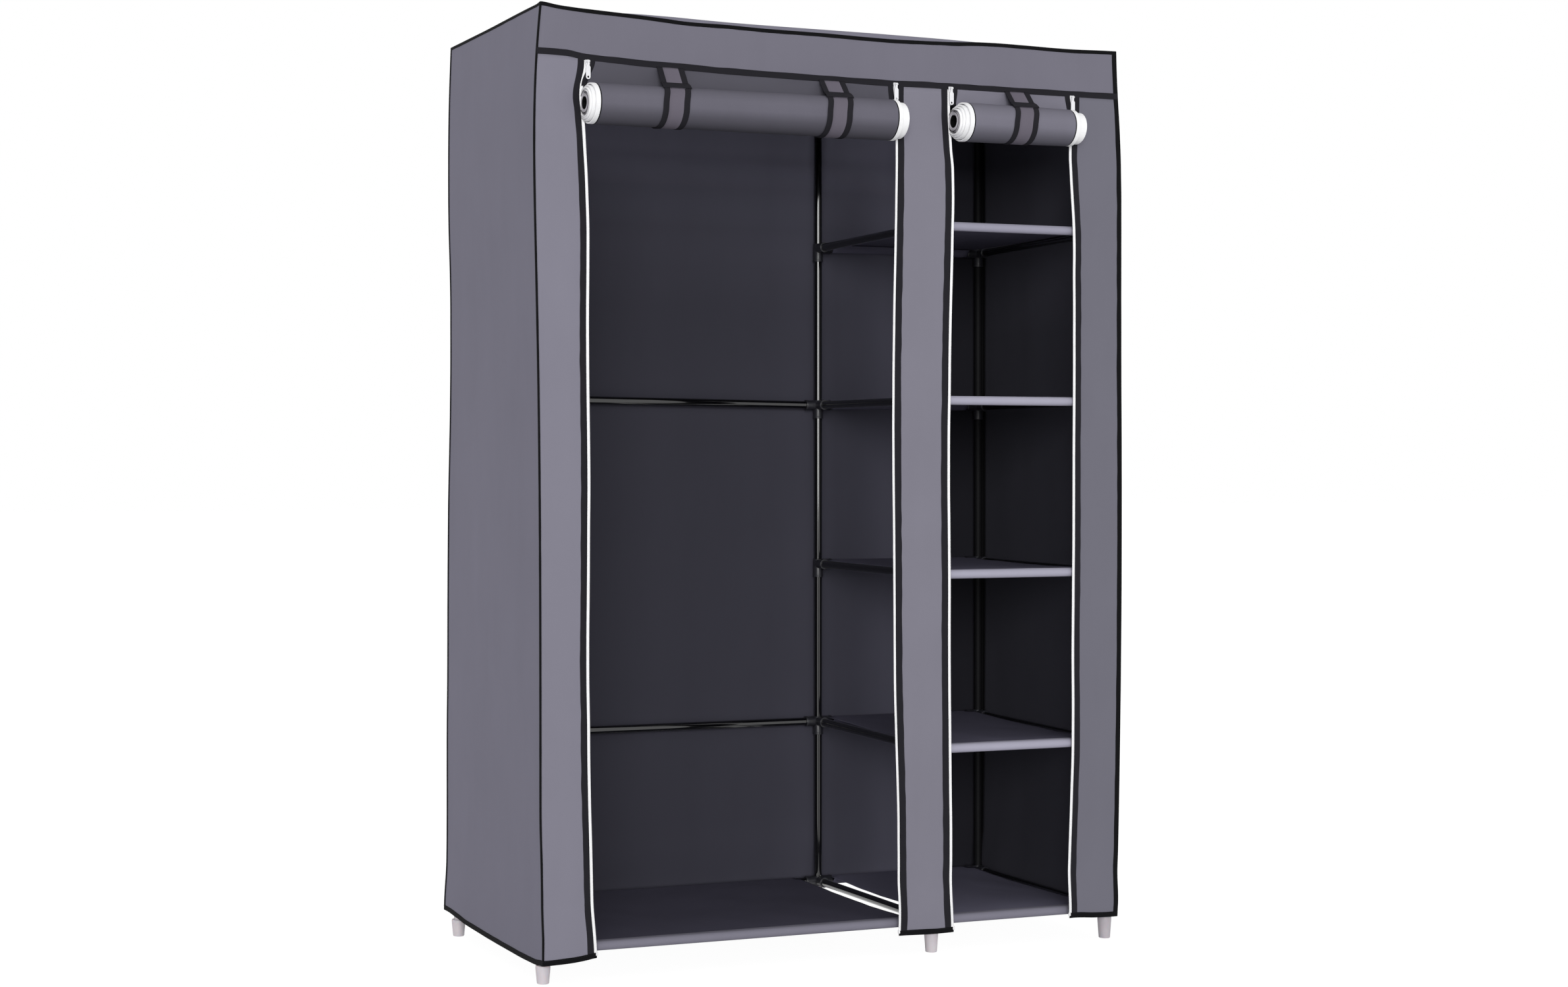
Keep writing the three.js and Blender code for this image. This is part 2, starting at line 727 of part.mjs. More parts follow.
// The band that is sewn behind the header, passes under the roll and comes up in front of it
function strapBandOutline(x) {
  const rear = behindFront;
  const nearRadius = rollRadius + seamGap;
  const rearRadius = rear - rollAxisY;
  const top = headerBottom(x) + strapSeam;
  const lastAngle = -(3 / 2) * Math.PI;
  const radiusAt = (angle) => {
    const closing = Math.min(1, -angle / (Math.PI / 2));
    return THREE.MathUtils.lerp(rearRadius, nearRadius, closing * closing);
  };
  const ring = (extra) => Array.from({ length: strapSteps + 1 }, (_, step) => {
    const angle = (lastAngle * step) / strapSteps;
    const radius = radiusAt(angle) + extra;
    return new THREE.Vector2(rollAxisY + radius * Math.cos(angle), rollAxisZ + radius * Math.sin(angle));
  });
  return [
    new THREE.Vector2(rear, top),
    ...ring(0),
    ...ring(strapThickness).reverse(),
    new THREE.Vector2(rear + strapThickness, top),
  ];
}

// The tab that comes down from the header's edge and lies over the end of the band
function strapTabOutline(x) {
  const start = new THREE.Vector2(-seamGap, headerBottom(x) - seamGap);
  const lift = rollRadius + seamGap + strapThickness + seamGap;
  const over = [0, 1, 2].map((step) => {
    const y = rollAxisY + THREE.MathUtils.lerp(tabLap, -tabOverhang, step / 2);
    const across = y - rollAxisY;
    return new THREE.Vector2(y, rollAxisZ + Math.sqrt(lift * lift - across * across) + seamGap);
  });
  const under = [start, ...over];
  const upper = under.map((point) => new THREE.Vector2(point.x, point.y + strapThickness)).reverse();
  const forward = new THREE.Vector2(start.x - strapThickness, start.y);
  return [new THREE.Vector2(start.x, start.y - strapThickness), ...over, ...upper.slice(0, -1), forward];
}

function addStrap(name, x) {
  const fromX = x - strapWidth / 2;
  const toX = x + strapWidth / 2;
  addPiece(`${name}_band`, drawnAlongX(strapBandOutline(x), fromX, toX), strapCloth);
  addPiece(`${name}_tab`, drawnAlongX(strapTabOutline(x), fromX, toX), strapCloth);
}

// Zip sliders and their pulls

// A slider straddles the tape on one side of it; side is 1 where the tape lies to its left
function sliderGeometry(zipX, side) {
  const top = headerBottom(zipX) - sliderGap;
  const bottom = top - sliderLength;
  const half = sliderWidth / 2;
  const tail = sliderTailWidth / 2;
  const shoulder = top - sliderLength * shoulderShare;
  const front = -sliderPlay - sliderPlate;
  const back = clothThickness + sliderPlay + sliderPlate;
  const outline = [
    new THREE.Vector2(zipX - tail, bottom),
    new THREE.Vector2(zipX + tail, bottom),
    new THREE.Vector2(zipX + half, shoulder),
    new THREE.Vector2(zipX + half, top),
    new THREE.Vector2(zipX - half, top),
    new THREE.Vector2(zipX - half, shoulder),
  ];
  const body = toSolid(drawnAlongY(outline, front, back));
  const outerEdge = zipX - side * (half + overrun);
  const innerEdge = zipX + side * sliderPlay;
  const channel = block(
    new THREE.Vector3(Math.min(outerEdge, innerEdge), -sliderPlay, bottom - overrun),
    new THREE.Vector3(Math.max(outerEdge, innerEdge), clothThickness + sliderPlay, top + overrun),
  );
  const bail = bailPlace(zipX);
  const earInside = knuckleHalf + knucklePlay;
  const ears = [-1, 1].flatMap((sign) => {
    const near = zipX + sign * earInside;
    const far = zipX + sign * (earInside + earThickness);
    const low = new THREE.Vector3(Math.min(near, far), bail.y, bail.z - earRadius);
    const high = new THREE.Vector3(Math.max(near, far), front + overrun, bail.z + earRadius);
    return [block(low, high), bar('x', Math.min(near, far), Math.max(near, far), bail, earRadius)];
  });
  const pin = bar('x', zipX - earInside - earThickness, zipX + earInside + earThickness, bail, bailRadius);
  return toGeometry(joined([body.subtract(channel), ...ears, pin]));
}

function bailPlace(zipX) {
  const front = -sliderPlay - sliderPlate;
  return {
    x: zipX,
    y: front - knucklePlay - knuckleRadius,
    z: headerBottom(zipX) - sliderGap - knuckleRadius - overrun,
  };
}

function pullGeometry(zipX) {
  const bail = bailPlace(zipX);
  const round = pullWidth / 2;
  const end = bail.z - pullLength + round;
  const outline = [
    new THREE.Vector2(zipX - knuckleHalf, bail.z),
    new THREE.Vector2(zipX - knuckleHalf, bail.z - pullNeckLength),
    new THREE.Vector2(zipX - round, bail.z - pullNeckLength - round),
    ...arc(zipX, end, round, Math.PI, 2 * Math.PI, pullEndSteps),
    new THREE.Vector2(zipX + round, bail.z - pullNeckLength - round),
    new THREE.Vector2(zipX + knuckleHalf, bail.z - pullNeckLength),
    new THREE.Vector2(zipX + knuckleHalf, bail.z),
  ];
  const front = bail.y - pullThickness / 2;
  const plate = toSolid(drawnAlongY(outline, front, front + pullThickness));
  const knuckle = bar('x', zipX - knuckleHalf, zipX + knuckleHalf, bail, knuckleRadius);
  const eyeHalf = knuckleHalf + overrun;
  const eye = bar('x', zipX - eyeHalf, zipX + eyeHalf, bail, bailRadius + knucklePlay);
  const holeAt = { x: zipX, z: end };
  const hole = bar('y', front - overrun, front + pullThickness + overrun, holeAt, pullHoleDiameter / 2);
  return toGeometry(plate.add(knuckle).subtract(eye).subtract(hole));
}

function addZipPull(name, zipX, side) {
  addPiece(`zip_slider_${name}`, sliderGeometry(zipX, side), whiteMetal);
  addPiece(`zip_pull_${name}`, pullGeometry(zipX), whiteMetal);
}

addFrame();
addHangingRail();
addFeet();
addShelves();
addCover();
addDoor('left_door', leftZipX, middleLeftZipX);
addDoor('right_door', middleRightZipX, rightZipX);
addStrap('left_door_strap_left', leftZipX + strapInset);
addStrap('left_door_strap_right', middleLeftZipX - strapInset);
addStrap('right_door_strap', (middleRightZipX + rightZipX) / 2);
addZipPull('left_door_left', leftZipX, 1);
addZipPull('left_door_right', middleLeftZipX, -1);
addZipPull('right_door_left', middleRightZipX, 1);
addZipPull('right_door_right', rightZipX, -1);

// The origin is on the floor, under the middle of everything
const bounds = new THREE.Box3().setFromObject(group);
const centre = bounds.getCenter(new THREE.Vector3());
group.position.set(-centre.x, -centre.y, 0);

export default group;
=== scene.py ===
# %% [markdown]
# # A fabric wardrobe, sewn to fit a frame of tubes
# On the real thing six thin steel posts are joined by short tubes and plastic fittings, and one
# grey cloth cover is pulled over them. Both doors are rolled up under the header.
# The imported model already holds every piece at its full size. This lesson keeps it as a fixed
# frame and gives each piece the fine shape and the finish that the plain solid lacks.

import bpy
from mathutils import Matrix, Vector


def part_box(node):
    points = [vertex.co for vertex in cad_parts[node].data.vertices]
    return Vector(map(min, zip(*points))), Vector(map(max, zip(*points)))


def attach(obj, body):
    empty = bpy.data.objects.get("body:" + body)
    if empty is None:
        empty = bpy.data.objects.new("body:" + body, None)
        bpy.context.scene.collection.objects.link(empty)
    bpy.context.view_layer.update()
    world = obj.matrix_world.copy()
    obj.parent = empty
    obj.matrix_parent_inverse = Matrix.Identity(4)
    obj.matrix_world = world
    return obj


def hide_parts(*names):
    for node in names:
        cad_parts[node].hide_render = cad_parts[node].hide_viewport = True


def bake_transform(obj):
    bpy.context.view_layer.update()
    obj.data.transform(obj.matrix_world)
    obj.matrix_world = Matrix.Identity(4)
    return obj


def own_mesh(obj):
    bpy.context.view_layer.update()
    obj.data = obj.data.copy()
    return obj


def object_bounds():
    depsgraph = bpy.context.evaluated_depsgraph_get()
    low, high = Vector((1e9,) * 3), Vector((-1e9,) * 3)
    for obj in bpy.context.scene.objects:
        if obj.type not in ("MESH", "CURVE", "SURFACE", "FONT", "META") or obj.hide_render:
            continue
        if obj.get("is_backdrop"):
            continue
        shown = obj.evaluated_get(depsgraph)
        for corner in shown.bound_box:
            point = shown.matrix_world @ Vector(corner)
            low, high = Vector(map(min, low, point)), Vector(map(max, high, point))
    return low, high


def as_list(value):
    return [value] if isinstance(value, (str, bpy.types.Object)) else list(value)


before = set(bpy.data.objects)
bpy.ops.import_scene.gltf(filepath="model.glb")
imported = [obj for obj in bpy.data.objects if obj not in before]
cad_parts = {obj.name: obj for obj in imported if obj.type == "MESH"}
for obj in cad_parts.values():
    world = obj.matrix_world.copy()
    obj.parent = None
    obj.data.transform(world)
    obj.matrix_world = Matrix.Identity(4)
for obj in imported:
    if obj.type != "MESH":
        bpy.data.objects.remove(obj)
model_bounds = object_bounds()
print("pieces in the model:", len(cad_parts))

# %% [markdown]
# ## Sizes
# A maker measures from one corner of the wardrobe, so every shape below is written from the
# front left corner of the floor: x to the right, y to the back, z up. It is moved into the
# model's own frame when its mesh is made. Large sizes are read from the boxes of the model's
# pieces, which keeps the fine pieces on the plain ones, and sewn details have sizes of their own.

# %% Sizes
import math
from bisect import bisect_right

import bpy
from mathutils import Vector, noise

MM = 0.001
corner = Vector((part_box("cover_top")[0].x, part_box("cover_header")[0].y, 0))
left, back, up = Vector((-1, 0, 0)), Vector((0, 1, 0)), Vector((0, 0, 1))


def box(node):
    low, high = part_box(node)
    return low - corner, high - corner


def middle(node):
    low, high = box(node)
    return (low + high) / 2


left_x = middle("post_front_left").x
middle_x = middle("post_front_middle").x
right_x = middle("post_front_right").x
front_y = middle("post_front_left").y
back_y = middle("post_back_left").y
width = left_x + right_x
depth = front_y + back_y
height = box("cover_top")[1].z
tube_radius = 8 * MM
fitting_radius = 10 * MM
tier_count = 5
bottom_level = 60 * MM
top_level = middle("hanging_rail").z
levels = [bottom_level + tier * (top_level - bottom_level) / tier_count for tier in range(tier_count + 1)]
print("width, depth, height:", [round(size / MM) for size in (width, depth, height)])

# %% [markdown]
# ## Curves
# Cloth has few straight lines. A seam that wanders is easiest to set down as a few places with
# their sideways shifts, and a curve that runs smoothly through them. A cubic curve between
# neighbouring places does that, and unlike one long polynomial it never swings out between them.

# %% Curves and steps
def mix(first, last, share):
    return first + (last - first) * share


def ease(share):
    share = min(max(share, 0), 1)
    return share * share * (3 - 2 * share)


def smooth_through(*stops):
    """A smooth function through (place, value) stops, level beyond the first and the last."""
    places = [place for place, _ in stops]
    inner = [(b[1] - a[1]) / (b[0] - a[0]) for a, b in zip(stops, stops[2:])]
    slopes = [0.0, *inner, 0.0]

    def value_at(place):
        if place <= places[0]:
            return stops[0][1]
        if place >= places[-1]:
            return stops[-1][1]
        index = bisect_right(places, place) - 1
        span = places[index + 1] - places[index]
        share = (place - places[index]) / span
        start = stops[index][1] + share * span * slopes[index]
        end = stops[index + 1][1] - (1 - share) * span * slopes[index + 1]
        return mix(start, end, ease(share))

    return value_at


def curve_mm(*stops):
    """A smooth function whose places and values are both written in millimetres."""
    return smooth_through(*[(place * MM, value * MM) for place, value in stops])


def steps_between(start, end, step):
    count = max(1, math.ceil(abs(end - start) / step))
    return [mix(start, end, index / count) for index in range(count + 1)]


print("a metre in steps of 300 mm at most:", steps_between(0, 1, 300 * MM))

# %% [markdown]
# ## How the cover hangs
# The cover is cut a little larger than the frame. Its sides swell out between the tubes, the
# top sags, the seams dip, and the free hem flares forward. The model bends its plain panels
# with the same few rules, so they are repeated here with finer steps. Each wall is then one
# function from a place on the pattern to a place in the room, and every seam, binding and zip
# asks the same function where the cloth is, so nothing comes apart however it is draped.

# %% How the cover hangs
cloth_thickness = 1.2 * MM
left_peak = 12 * MM
left_peak_length = 90 * MM
crown_sag = 10 * MM
seam_dip = 10 * MM
side_bulge = 12 * MM
corner_reach = 84 * MM
hem_flare = 12 * MM
flare_height = 150 * MM
header_height = 90 * MM
back_hem = (48 * MM, 50 * MM)
header_dip = curve_mm(
    (0, 2.5), (43, 2.4), (63, 1), (80, -2), (110, -4), (152, -5), (204, -7), (309, -8.5), (362, -9.6),
    (689, -9.8), (746, -8.7), (803, -7.5), (918, -6.2), (1035, -5.1), (1154, -3.9), (1200, -3.5),
)
left_bulge_share, right_bulge_share, back_bulge_share = 0.86, 0.5, 0.45
crown = height - left_peak
front_seam_rise = curve_mm(
    (0, 16), (25, 13), (50, 10.5), (101, 7.7), (165, 4.8), (243, 0.5), (290, -2.4), (362, -2.8),
    (442, -4.8), (565, -5.6), (689, -7.8), (750, -7.3), (817, -5.9), (860, -4.3), (903, -2), (991, -1.9),
    (1100, -3.1), (1200, -1),
)
ridge_rise = curve_mm(
    (0, 2), (60, 3), (150, 7), (243, 8.6), (322, 7.4), (402, 6.3), (606, 5.9), (774, 4.6), (860, 3.2),
    (960, 0.6), (1200, 0),
)
front_hem = curve_mm(
    (0, 37), (20, 37.5), (45, 38.5), (83, 42), (107, 45), (300, 45), (716, 41.8), (840, 41),
    (1092, 50), (1150, 47.4), (1200, 46.5),
)
left_hem = curve_mm((0, 37), (40, 33.5), (156, 34), (369, 40), (430, 45), (500, 49))
left_front_lean = curve_mm((40, 0.5), (90, 2.5), (200, 2.5), (320, 0))
left_back_lean = curve_mm(
    (50, -10), (200, -8.5), (400, -8.3), (500, -7.3), (800, -5.5), (950, -2.3), (1050, 0),
    (1200, 2), (1300, 2), (1450, 0),
)
right_lean = curve_mm(
    (45, -1), (75, 1.5), (110, 3.5), (200, 6), (1000, 6), (1200, 7), (1400, 10), (1480, 11),
    (1570, 10), (1735, 5),
)
front_seam_reach = 17 * MM
back_seam_reach = 30 * MM
ridge_start = 60 * MM
ridge_fade = 250 * MM


def hump(share, peak_share):
    return math.sin(math.pi * max(share, 0) ** (-math.log(2) / math.log(peak_share)))


def hem_height(x, y):
    """The hem follows its own lines along the front and the left, and is straight elsewhere."""
    level = mix(front_hem(x), mix(*back_hem, x / width), y / depth)
    left_dip = left_hem(y) - mix(front_hem(0), back_hem[0], y / depth)
    return level + left_dip * (1 - x / width)


def top_height(x, y):
    """The front seam hangs below the ridge that the front tube lifts behind it."""
    ridge = crown + left_peak * math.exp(-x / left_peak_length)
    ridge += ridge_rise(x) * (1 - ease((y - ridge_start) / ridge_fade))
    sag = crown_sag * math.sin(math.pi * x / width) * math.sin(math.pi * y / depth)
    across = 2 * x / width - 1
    dip = seam_dip * (1 - across * across) * (1 - ease((depth - y) / back_seam_reach))
    return mix(crown + front_seam_rise(x), ridge - sag - dip, ease(y / front_seam_reach))


def header_bottom(x):
    return mix(height, crown, x / width) - header_height + header_dip(x)


def wall_height(x, y, row):
    """Row 0 is the hem, row 1 the lower edge of the header and row 2 the seam with the top."""
    if row > 1:
        return mix(header_bottom(x), top_height(x, y), row - 1)
    return mix(hem_height(x, y), header_bottom(x), row)


def drape(x, y, z):
    backward = y / depth
    bulge = side_bulge * mix(1, back_bulge_share, backward)
    rise = min(z / height, 1)
    leftward = bulge * hump(rise, left_bulge_share) * max(0, 1 - x / corner_reach)
    rightward = bulge * hump(rise, right_bulge_share) * max(0, 1 - (width - x) / corner_reach)
    rightward += mix(left_front_lean(z), left_back_lean(z), backward) * max(0, 1 - x / corner_reach)
    rightward += right_lean(z) * mix(1, 0.5, backward) * max(0, 1 - (width - x) / corner_reach)
    hem = hem_height(x, y)
    flare = hem_flare * ease((flare_height - z) / (flare_height - hem))
    return Vector((x + rightward - leftward, y - flare * (1 - 2 * backward), z))


def rumple(across, along, grain, seed):
    """A soft unevenness of the cloth, from -1 to 1, with patches as large as the grain."""
    place = Vector((across / grain[0], along / grain[1], seed))
    return noise.noise(place) + 0.4 * noise.noise(2.3 * place)


def near_edges(across, length, reach):
    return ease(min(across, length - across) / reach)


print("header edge at the middle:", round(header_bottom(width / 2) / MM), "mm")

# %% Walls of the cover, each as a function of a place on its pattern
ripple_mm = {"front": 1.6, "back": 2.2, "side": 1.8, "top": 1.5}
calm_reach = {"front": 60 * MM, "back": 90 * MM, "side": 60 * MM, "top": 70 * MM}
ripple_grain = {
    "front": (70 * MM, 260 * MM), "back": (120 * MM, 300 * MM),
    "side": (110 * MM, 380 * MM), "top": (160 * MM, 120 * MM),
}


def calm_at(across, length, reach, row):
    """0 where a wall is sewn at its edges and to the top, and 1 further in, where it ripples."""
    return near_edges(across, length, reach) * ease((2 - row) * 4)


def front_point(x, row):
    point = drape(x, 0, wall_height(x, 0, row))
    calm = calm_at(x, width, calm_reach["front"], row)
    unevenness = rumple(x, point.z, ripple_grain["front"], 1.5)
    return point - back * ripple_mm["front"] * MM * calm * unevenness


def back_point(x, row):
    point = drape(x, depth, wall_height(x, depth, row))
    calm = calm_at(x, width, calm_reach["back"], row)
    unevenness = rumple(x, point.z, ripple_grain["back"], 2.5)
    return point + back * ripple_mm["back"] * MM * calm * unevenness


def side_point(x, y, row):
    point = drape(x, y, wall_height(x, y, row))
    calm = calm_at(y, depth, calm_reach["side"], row)
    unevenness = rumple(y, point.z, ripple_grain["side"], 3.5 + x)
    outward = left if x == 0 else -left
    return point + outward * ripple_mm["side"] * MM * calm * unevenness


def left_point(y, row):
    return side_point(0, y, row)


def right_point(y, row):
    return side_point(width, y, row)


def top_point(x, y):
    point = drape(x, y, top_height(x, y))
    reach = calm_reach["top"]
    calm = near_edges(x, width, reach) * near_edges(y, depth, reach)
    unevenness = rumple(x, y, ripple_grain["top"], 5.5)
    return point + up * ripple_mm["top"] * MM * calm * unevenness


print("seam over the middle of the front:", round(top_height(width / 2, 0) / MM), "mm")

# %% [markdown]
# ## Finishes written as sums
# A finish is a little graph of nodes. Wiring it by hand hides what it computes, so one small
# class stands for a socket and lets Python's own signs add the Math nodes: `0.7 + 0.2 * ribs`
# then reads as what it does. Every other node is placed by a single method, which takes the
# node's type, its settings and what goes into its sockets.

# %% Finishes written as sums
class Signal:
    """What comes out of a node's socket, ready to be added, multiplied or compared."""

    def __init__(self, graph, socket):
        self.graph = graph
        self.socket = socket

    def maths(self, operation, *values):
        inputs = dict(enumerate(values))
        return self.graph.node("ShaderNodeMath", {"operation": operation}, inputs)

    def __add__(self, other):
        return self.maths("ADD", self, other)

    def __sub__(self, other):
        return self.maths("SUBTRACT", self, other)

    def __mul__(self, other):
        return self.maths("MULTIPLY", self, other)

    def __gt__(self, other):
        return self.maths("GREATER_THAN", self, other)

    __radd__ = __add__
    __rmul__ = __mul__


class Graph:
    """The nodes of one material or of the world."""

    def __init__(self, owner):
        owner.use_nodes = True
        self.tree = owner.node_tree

    def node(self, kind, settings=None, inputs=None, output=0):
        made = self.tree.nodes.new(kind)
        for name, value in (settings or {}).items():
            if name == "stops":
                self.set_stops(made.color_ramp, value)
            else:
                setattr(made, name, value)
        for name, value in (inputs or {}).items():
            self.feed(made.inputs[name], value)
        return Signal(self, made.outputs[output])

    def feed(self, socket, value):
        if isinstance(value, Signal):
            self.tree.links.new(value.socket, socket)
        else:
            socket.default_value = value

    def set_stops(self, ramp, stops):
        while len(ramp.elements) < len(stops):
            ramp.elements.new(1)
        for element, (position, shade) in zip(ramp.elements, stops):
            element.position = position
            element.color = (shade, shade, shade, 1)

    def place(self):
        return self.node("ShaderNodeTexCoord", output="Object")

    def cloud(self, scale, detail=3, stretch=(1, 1, 1)):
        """Noise from 0 to 1; the scale counts its patches to a metre."""
        where = self.node("ShaderNodeMapping", {}, {"Vector": self.place(), "Scale": stretch})
        values = {"Vector": where, "Scale": scale, "Detail": detail, "Roughness": 0.5}
        return self.node("ShaderNodeTexNoise", {"noise_dimensions": "3D"}, values)

    def tint(self, factor, first, second):
        values = {0: factor, 6: first, 7: second}
        return self.node("ShaderNodeMix", {"data_type": "RGBA"}, values, output=2)

    def bump(self, height_signal, strength, distance):
        values = {"Height": height_signal, "Strength": strength, "Distance": distance}
        return self.node("ShaderNodeBump", {}, values)


def paint(red, green, blue):
    """A colour as a picture shows it, from 0 to 255, in the linear values that light adds up in."""
    shares = [value / 255 for value in (red, green, blue)]
    linear = [s / 12.92 if s <= 0.04045 else ((s + 0.055) / 1.055) ** 2.4 for s in shares]
    return (*linear, 1)


def scaled(colour, share):
    return (*[channel * share for channel in colour[:3]], 1)


def finish(name, make, **constants):
    """A material whose varying sockets come from make(graph) and whose other ones stay constant."""
    material = bpy.data.materials.new(name)
    graph = Graph(material)
    shader = graph.tree.nodes["Principled BSDF"]
    for socket, value in {**constants, **make(graph)}.items():
        graph.feed(shader.inputs[socket.replace("_", " ")], value)
    return material


print("a picture's middle grey in linear light:", round(paint(128, 128, 128)[0], 3))

# %% [markdown]
# ## Cloth
# Covers like this are usually a spunbond: fine plastic fibres pressed together in a close pattern
# of dots. From a step away only a soft, matt, slightly uneven grey is left. Close up the dots and
# the fibres show. The dots come from a Voronoi pattern that is hardly shuffled, and slow clouds
# vary the tone. The photograph is shaded more inside the wardrobe and on the rolls than this
# scene's light makes it. So some cloths carry a share of that shade in their colour, by place, as
# painted shade. Panels of the one cloth have lighter and darker greys of their own, which are
# painted light and shade, chosen by comparing renders with the photograph.

# %% Cloth finishes
def spunbond(colour, contrast=0.05, shade=None):
    def make(graph):
        slow = graph.cloud(5, detail=4)
        streaks = graph.cloud(28, detail=2, stretch=(1, 1, 0.25))
        fibres = graph.cloud(900, detail=2)
        cells = graph.node(
            "ShaderNodeTexVoronoi", {"feature": "F1"},
            {"Vector": graph.place(), "Scale": 560, "Randomness": 0.25},
        )
        uneven = 0.5 * slow + 0.25 * streaks + 0.25 * fibres
        colour_signal = graph.tint(
            uneven, scaled(colour, 1 - 2 * contrast), scaled(colour, 1 + 2 * contrast)
        )
        if shade:
            colour_signal = shade(graph, colour_signal)
        relief = fibres * 0.6 + cells
        return {
            "Base Color": colour_signal,
            "Roughness": 0.86 + 0.1 * fibres,
            "Normal": graph.bump(relief, 0.25, 0.3 * MM),
        }

    return make


def woven_tape(colour):
    def make(graph):
        ribs = graph.cloud(1400, detail=1)
        worn = graph.cloud(60, detail=3)
        shade = graph.tint(0.6 * ribs + 0.4 * worn, scaled(colour, 0.82), scaled(colour, 1.15))
        return {
            "Base Color": shade,
            "Roughness": 0.7 + 0.2 * ribs,
            "Normal": graph.bump(ribs, 0.3, 0.2 * MM),
        }

    return make


def cloth(name, colour, **settings):
    return finish(name, spunbond(paint(*colour), **settings), Specular_IOR_Level=0.15)


def along(graph, axis, *stops):
    """A share that changes along one axis, through stops of (place in millimetres, share)."""
    place = graph.node("ShaderNodeSeparateXYZ", {}, {"Vector": graph.place()}, output=axis)
    start, span = stops[0][0], stops[-1][0] - stops[0][0]
    spread = [((there - start) / span, share) for there, share in stops]
    position = (place - (corner[axis] + start * MM)) * (1 / (span * MM))
    return graph.node("ShaderNodeValToRGB", {"stops": spread}, {0: position})


def back_shade(graph, colour_signal):
    """Painted shade on the inside of the back, which is palest near the top and behind the middle of the
    right bay.
    """
    rise = along(graph, 2, (0, 0.21), (117, 0.21), (200, 0.195), (800, 0.177), (1252, 0.18),
                 (1333, 0.2), (1414, 0.26), (1495, 0.43), (1576, 0.97), (1750, 1))
    across = along(graph, 0, (0, 0.4), (520, 0.4), (700, 0.46), (854, 0.6), (963, 1), (1030, 1),
                   (1090, 0.15), (1200, 0.15))
    return graph.tint(rise * across, (0, 0, 0, 1), colour_signal)


def right_shade(graph, colour_signal):
    """Painted shade on the inside of the right side: darker low down and towards the back."""
    rise = along(graph, 2, (0, 0.5), (1200, 0.5), (1600, 1))
    inwards = along(graph, 1, (0, 1), (150, 1), (330, 0.66), (500, 0.6))
    return graph.tint(rise * inwards, (0, 0, 0, 1), colour_signal)


def roll_shade(graph, colour_signal):
    """Painted shade on the cloth of a roll: darker below and a little darker above."""
    share = along(graph, 2, (1500, 1), (1530, 0.5), (1538, 0.5), (1556, 0.68), (1572, 0.98),
                  (1588, 1), (1602, 0.92), (1616, 0.8))
    return graph.tint(share, (0, 0, 0, 1), colour_signal)


def under_header(graph, colour_signal):
    """Painted shade: the wide door is darker just below the header, where the header shades it, and has
    the flaps' colour when it is down.
    """
    share = along(graph, 2, (0, 0.95), (1400, 0.95), (1590, 0.43), (1700, 0.43))
    return graph.tint(share, (0, 0, 0, 1), colour_signal)


# The flaps and the header are one cloth: the paler left and centre flaps are painted light, the darker
# right flap and header painted shade.
flap_cloths = {
    "cover_left_flap": cloth("left flap cloth", (132, 130, 143)),
    "cover_centre_flap": cloth("centre flap cloth", (129, 127, 139)),
    "cover_right_flap": cloth("right flap cloth", (113, 112, 123)),
    "cover_header": cloth("header cloth", (117, 115, 127)),
}
cover_outside = cloth("cover cloth outside", (128, 126, 140))
side_outside = cloth("cover cloth side", (127, 125, 139))
# The inside of the cover is the same cloth as the outside; its darker greys are painted shade of the
# wardrobe's inside.
cover_inside = cloth("cover cloth inside", (52, 51, 59))
back_inside = cloth("cover cloth inside the back", (197, 195, 222), shade=back_shade)
right_inside = cloth("cover cloth inside the right side", (105, 104, 117), shade=right_shade)
# The right roll's paler grey against the left's is painted light and shade on one cloth.
roll_cloths = {
    "left_door": cloth("left roll cloth", (105, 103, 114), contrast=0.09, shade=roll_shade),
    "right_door": cloth("right roll cloth", (120, 118, 130), contrast=0.09, shade=roll_shade),
}
upper_cloths = {
    "left_door": cloth("left door upper cloth", (130, 128, 141), shade=under_header),
    "right_door": cloth("right door upper cloth", (125, 123, 135)),
}
# The shelves and bottoms are all one cloth. Its greys here are painted light and shade: pale front
# sleeves, greyer top and bottom sleeves, darker sheets and back sleeves, darkest on the left bottom.
shelf_cloth = cloth("shelf cloth", (95, 93, 110))
left_bottom_cloth = cloth("left bottom cloth", (79, 77, 92))
right_bottom_cloth = cloth("right bottom cloth", (115, 113, 132))
sleeve_cloth = cloth("shelf sleeve cloth", (171, 169, 185))
top_sleeve_cloth = cloth("top shelf sleeve cloth", (156, 154, 170))
bottom_sleeve_cloth = cloth("left bottom sleeve cloth", (130, 128, 141))
strap_cloth = cloth("strap cloth", (106, 101, 112))
binding_tape = finish("black binding", woven_tape(paint(34, 33, 38)), Specular_IOR_Level=0.12)
edge_tape = finish("black edge binding", woven_tape(paint(13, 13, 15)), Specular_IOR_Level=0.1)
thread = finish("black thread", woven_tape(paint(40, 39, 44)), Specular_IOR_Level=0.15)
zip_white = finish("white zip tape", woven_tape(paint(254, 254, 255)), Specular_IOR_Level=0.3)
# A greyer white tape: painted shade for the recessed inner turns of a roll's ends.
shaded_white = finish("white tape with painted shade", woven_tape(paint(206, 203, 209)), Specular_IOR_Level=0.2)
print("cloth finishes:", len(bpy.data.materials))

# %% [markdown]
# ## Tubes, fittings, feet and sliders
# The posts are steel tube with a glossy black coat, so they mirror the room in long streaks. The
# right back post shows none in the photograph, so it has a duller black here. The fittings are
# moulded in black plastic, with a fine grain that breaks the reflections. The feet are a pale,
# slightly milky plastic; the right ones are greyer, a painted shade. The sliders are enamelled
# white metal.

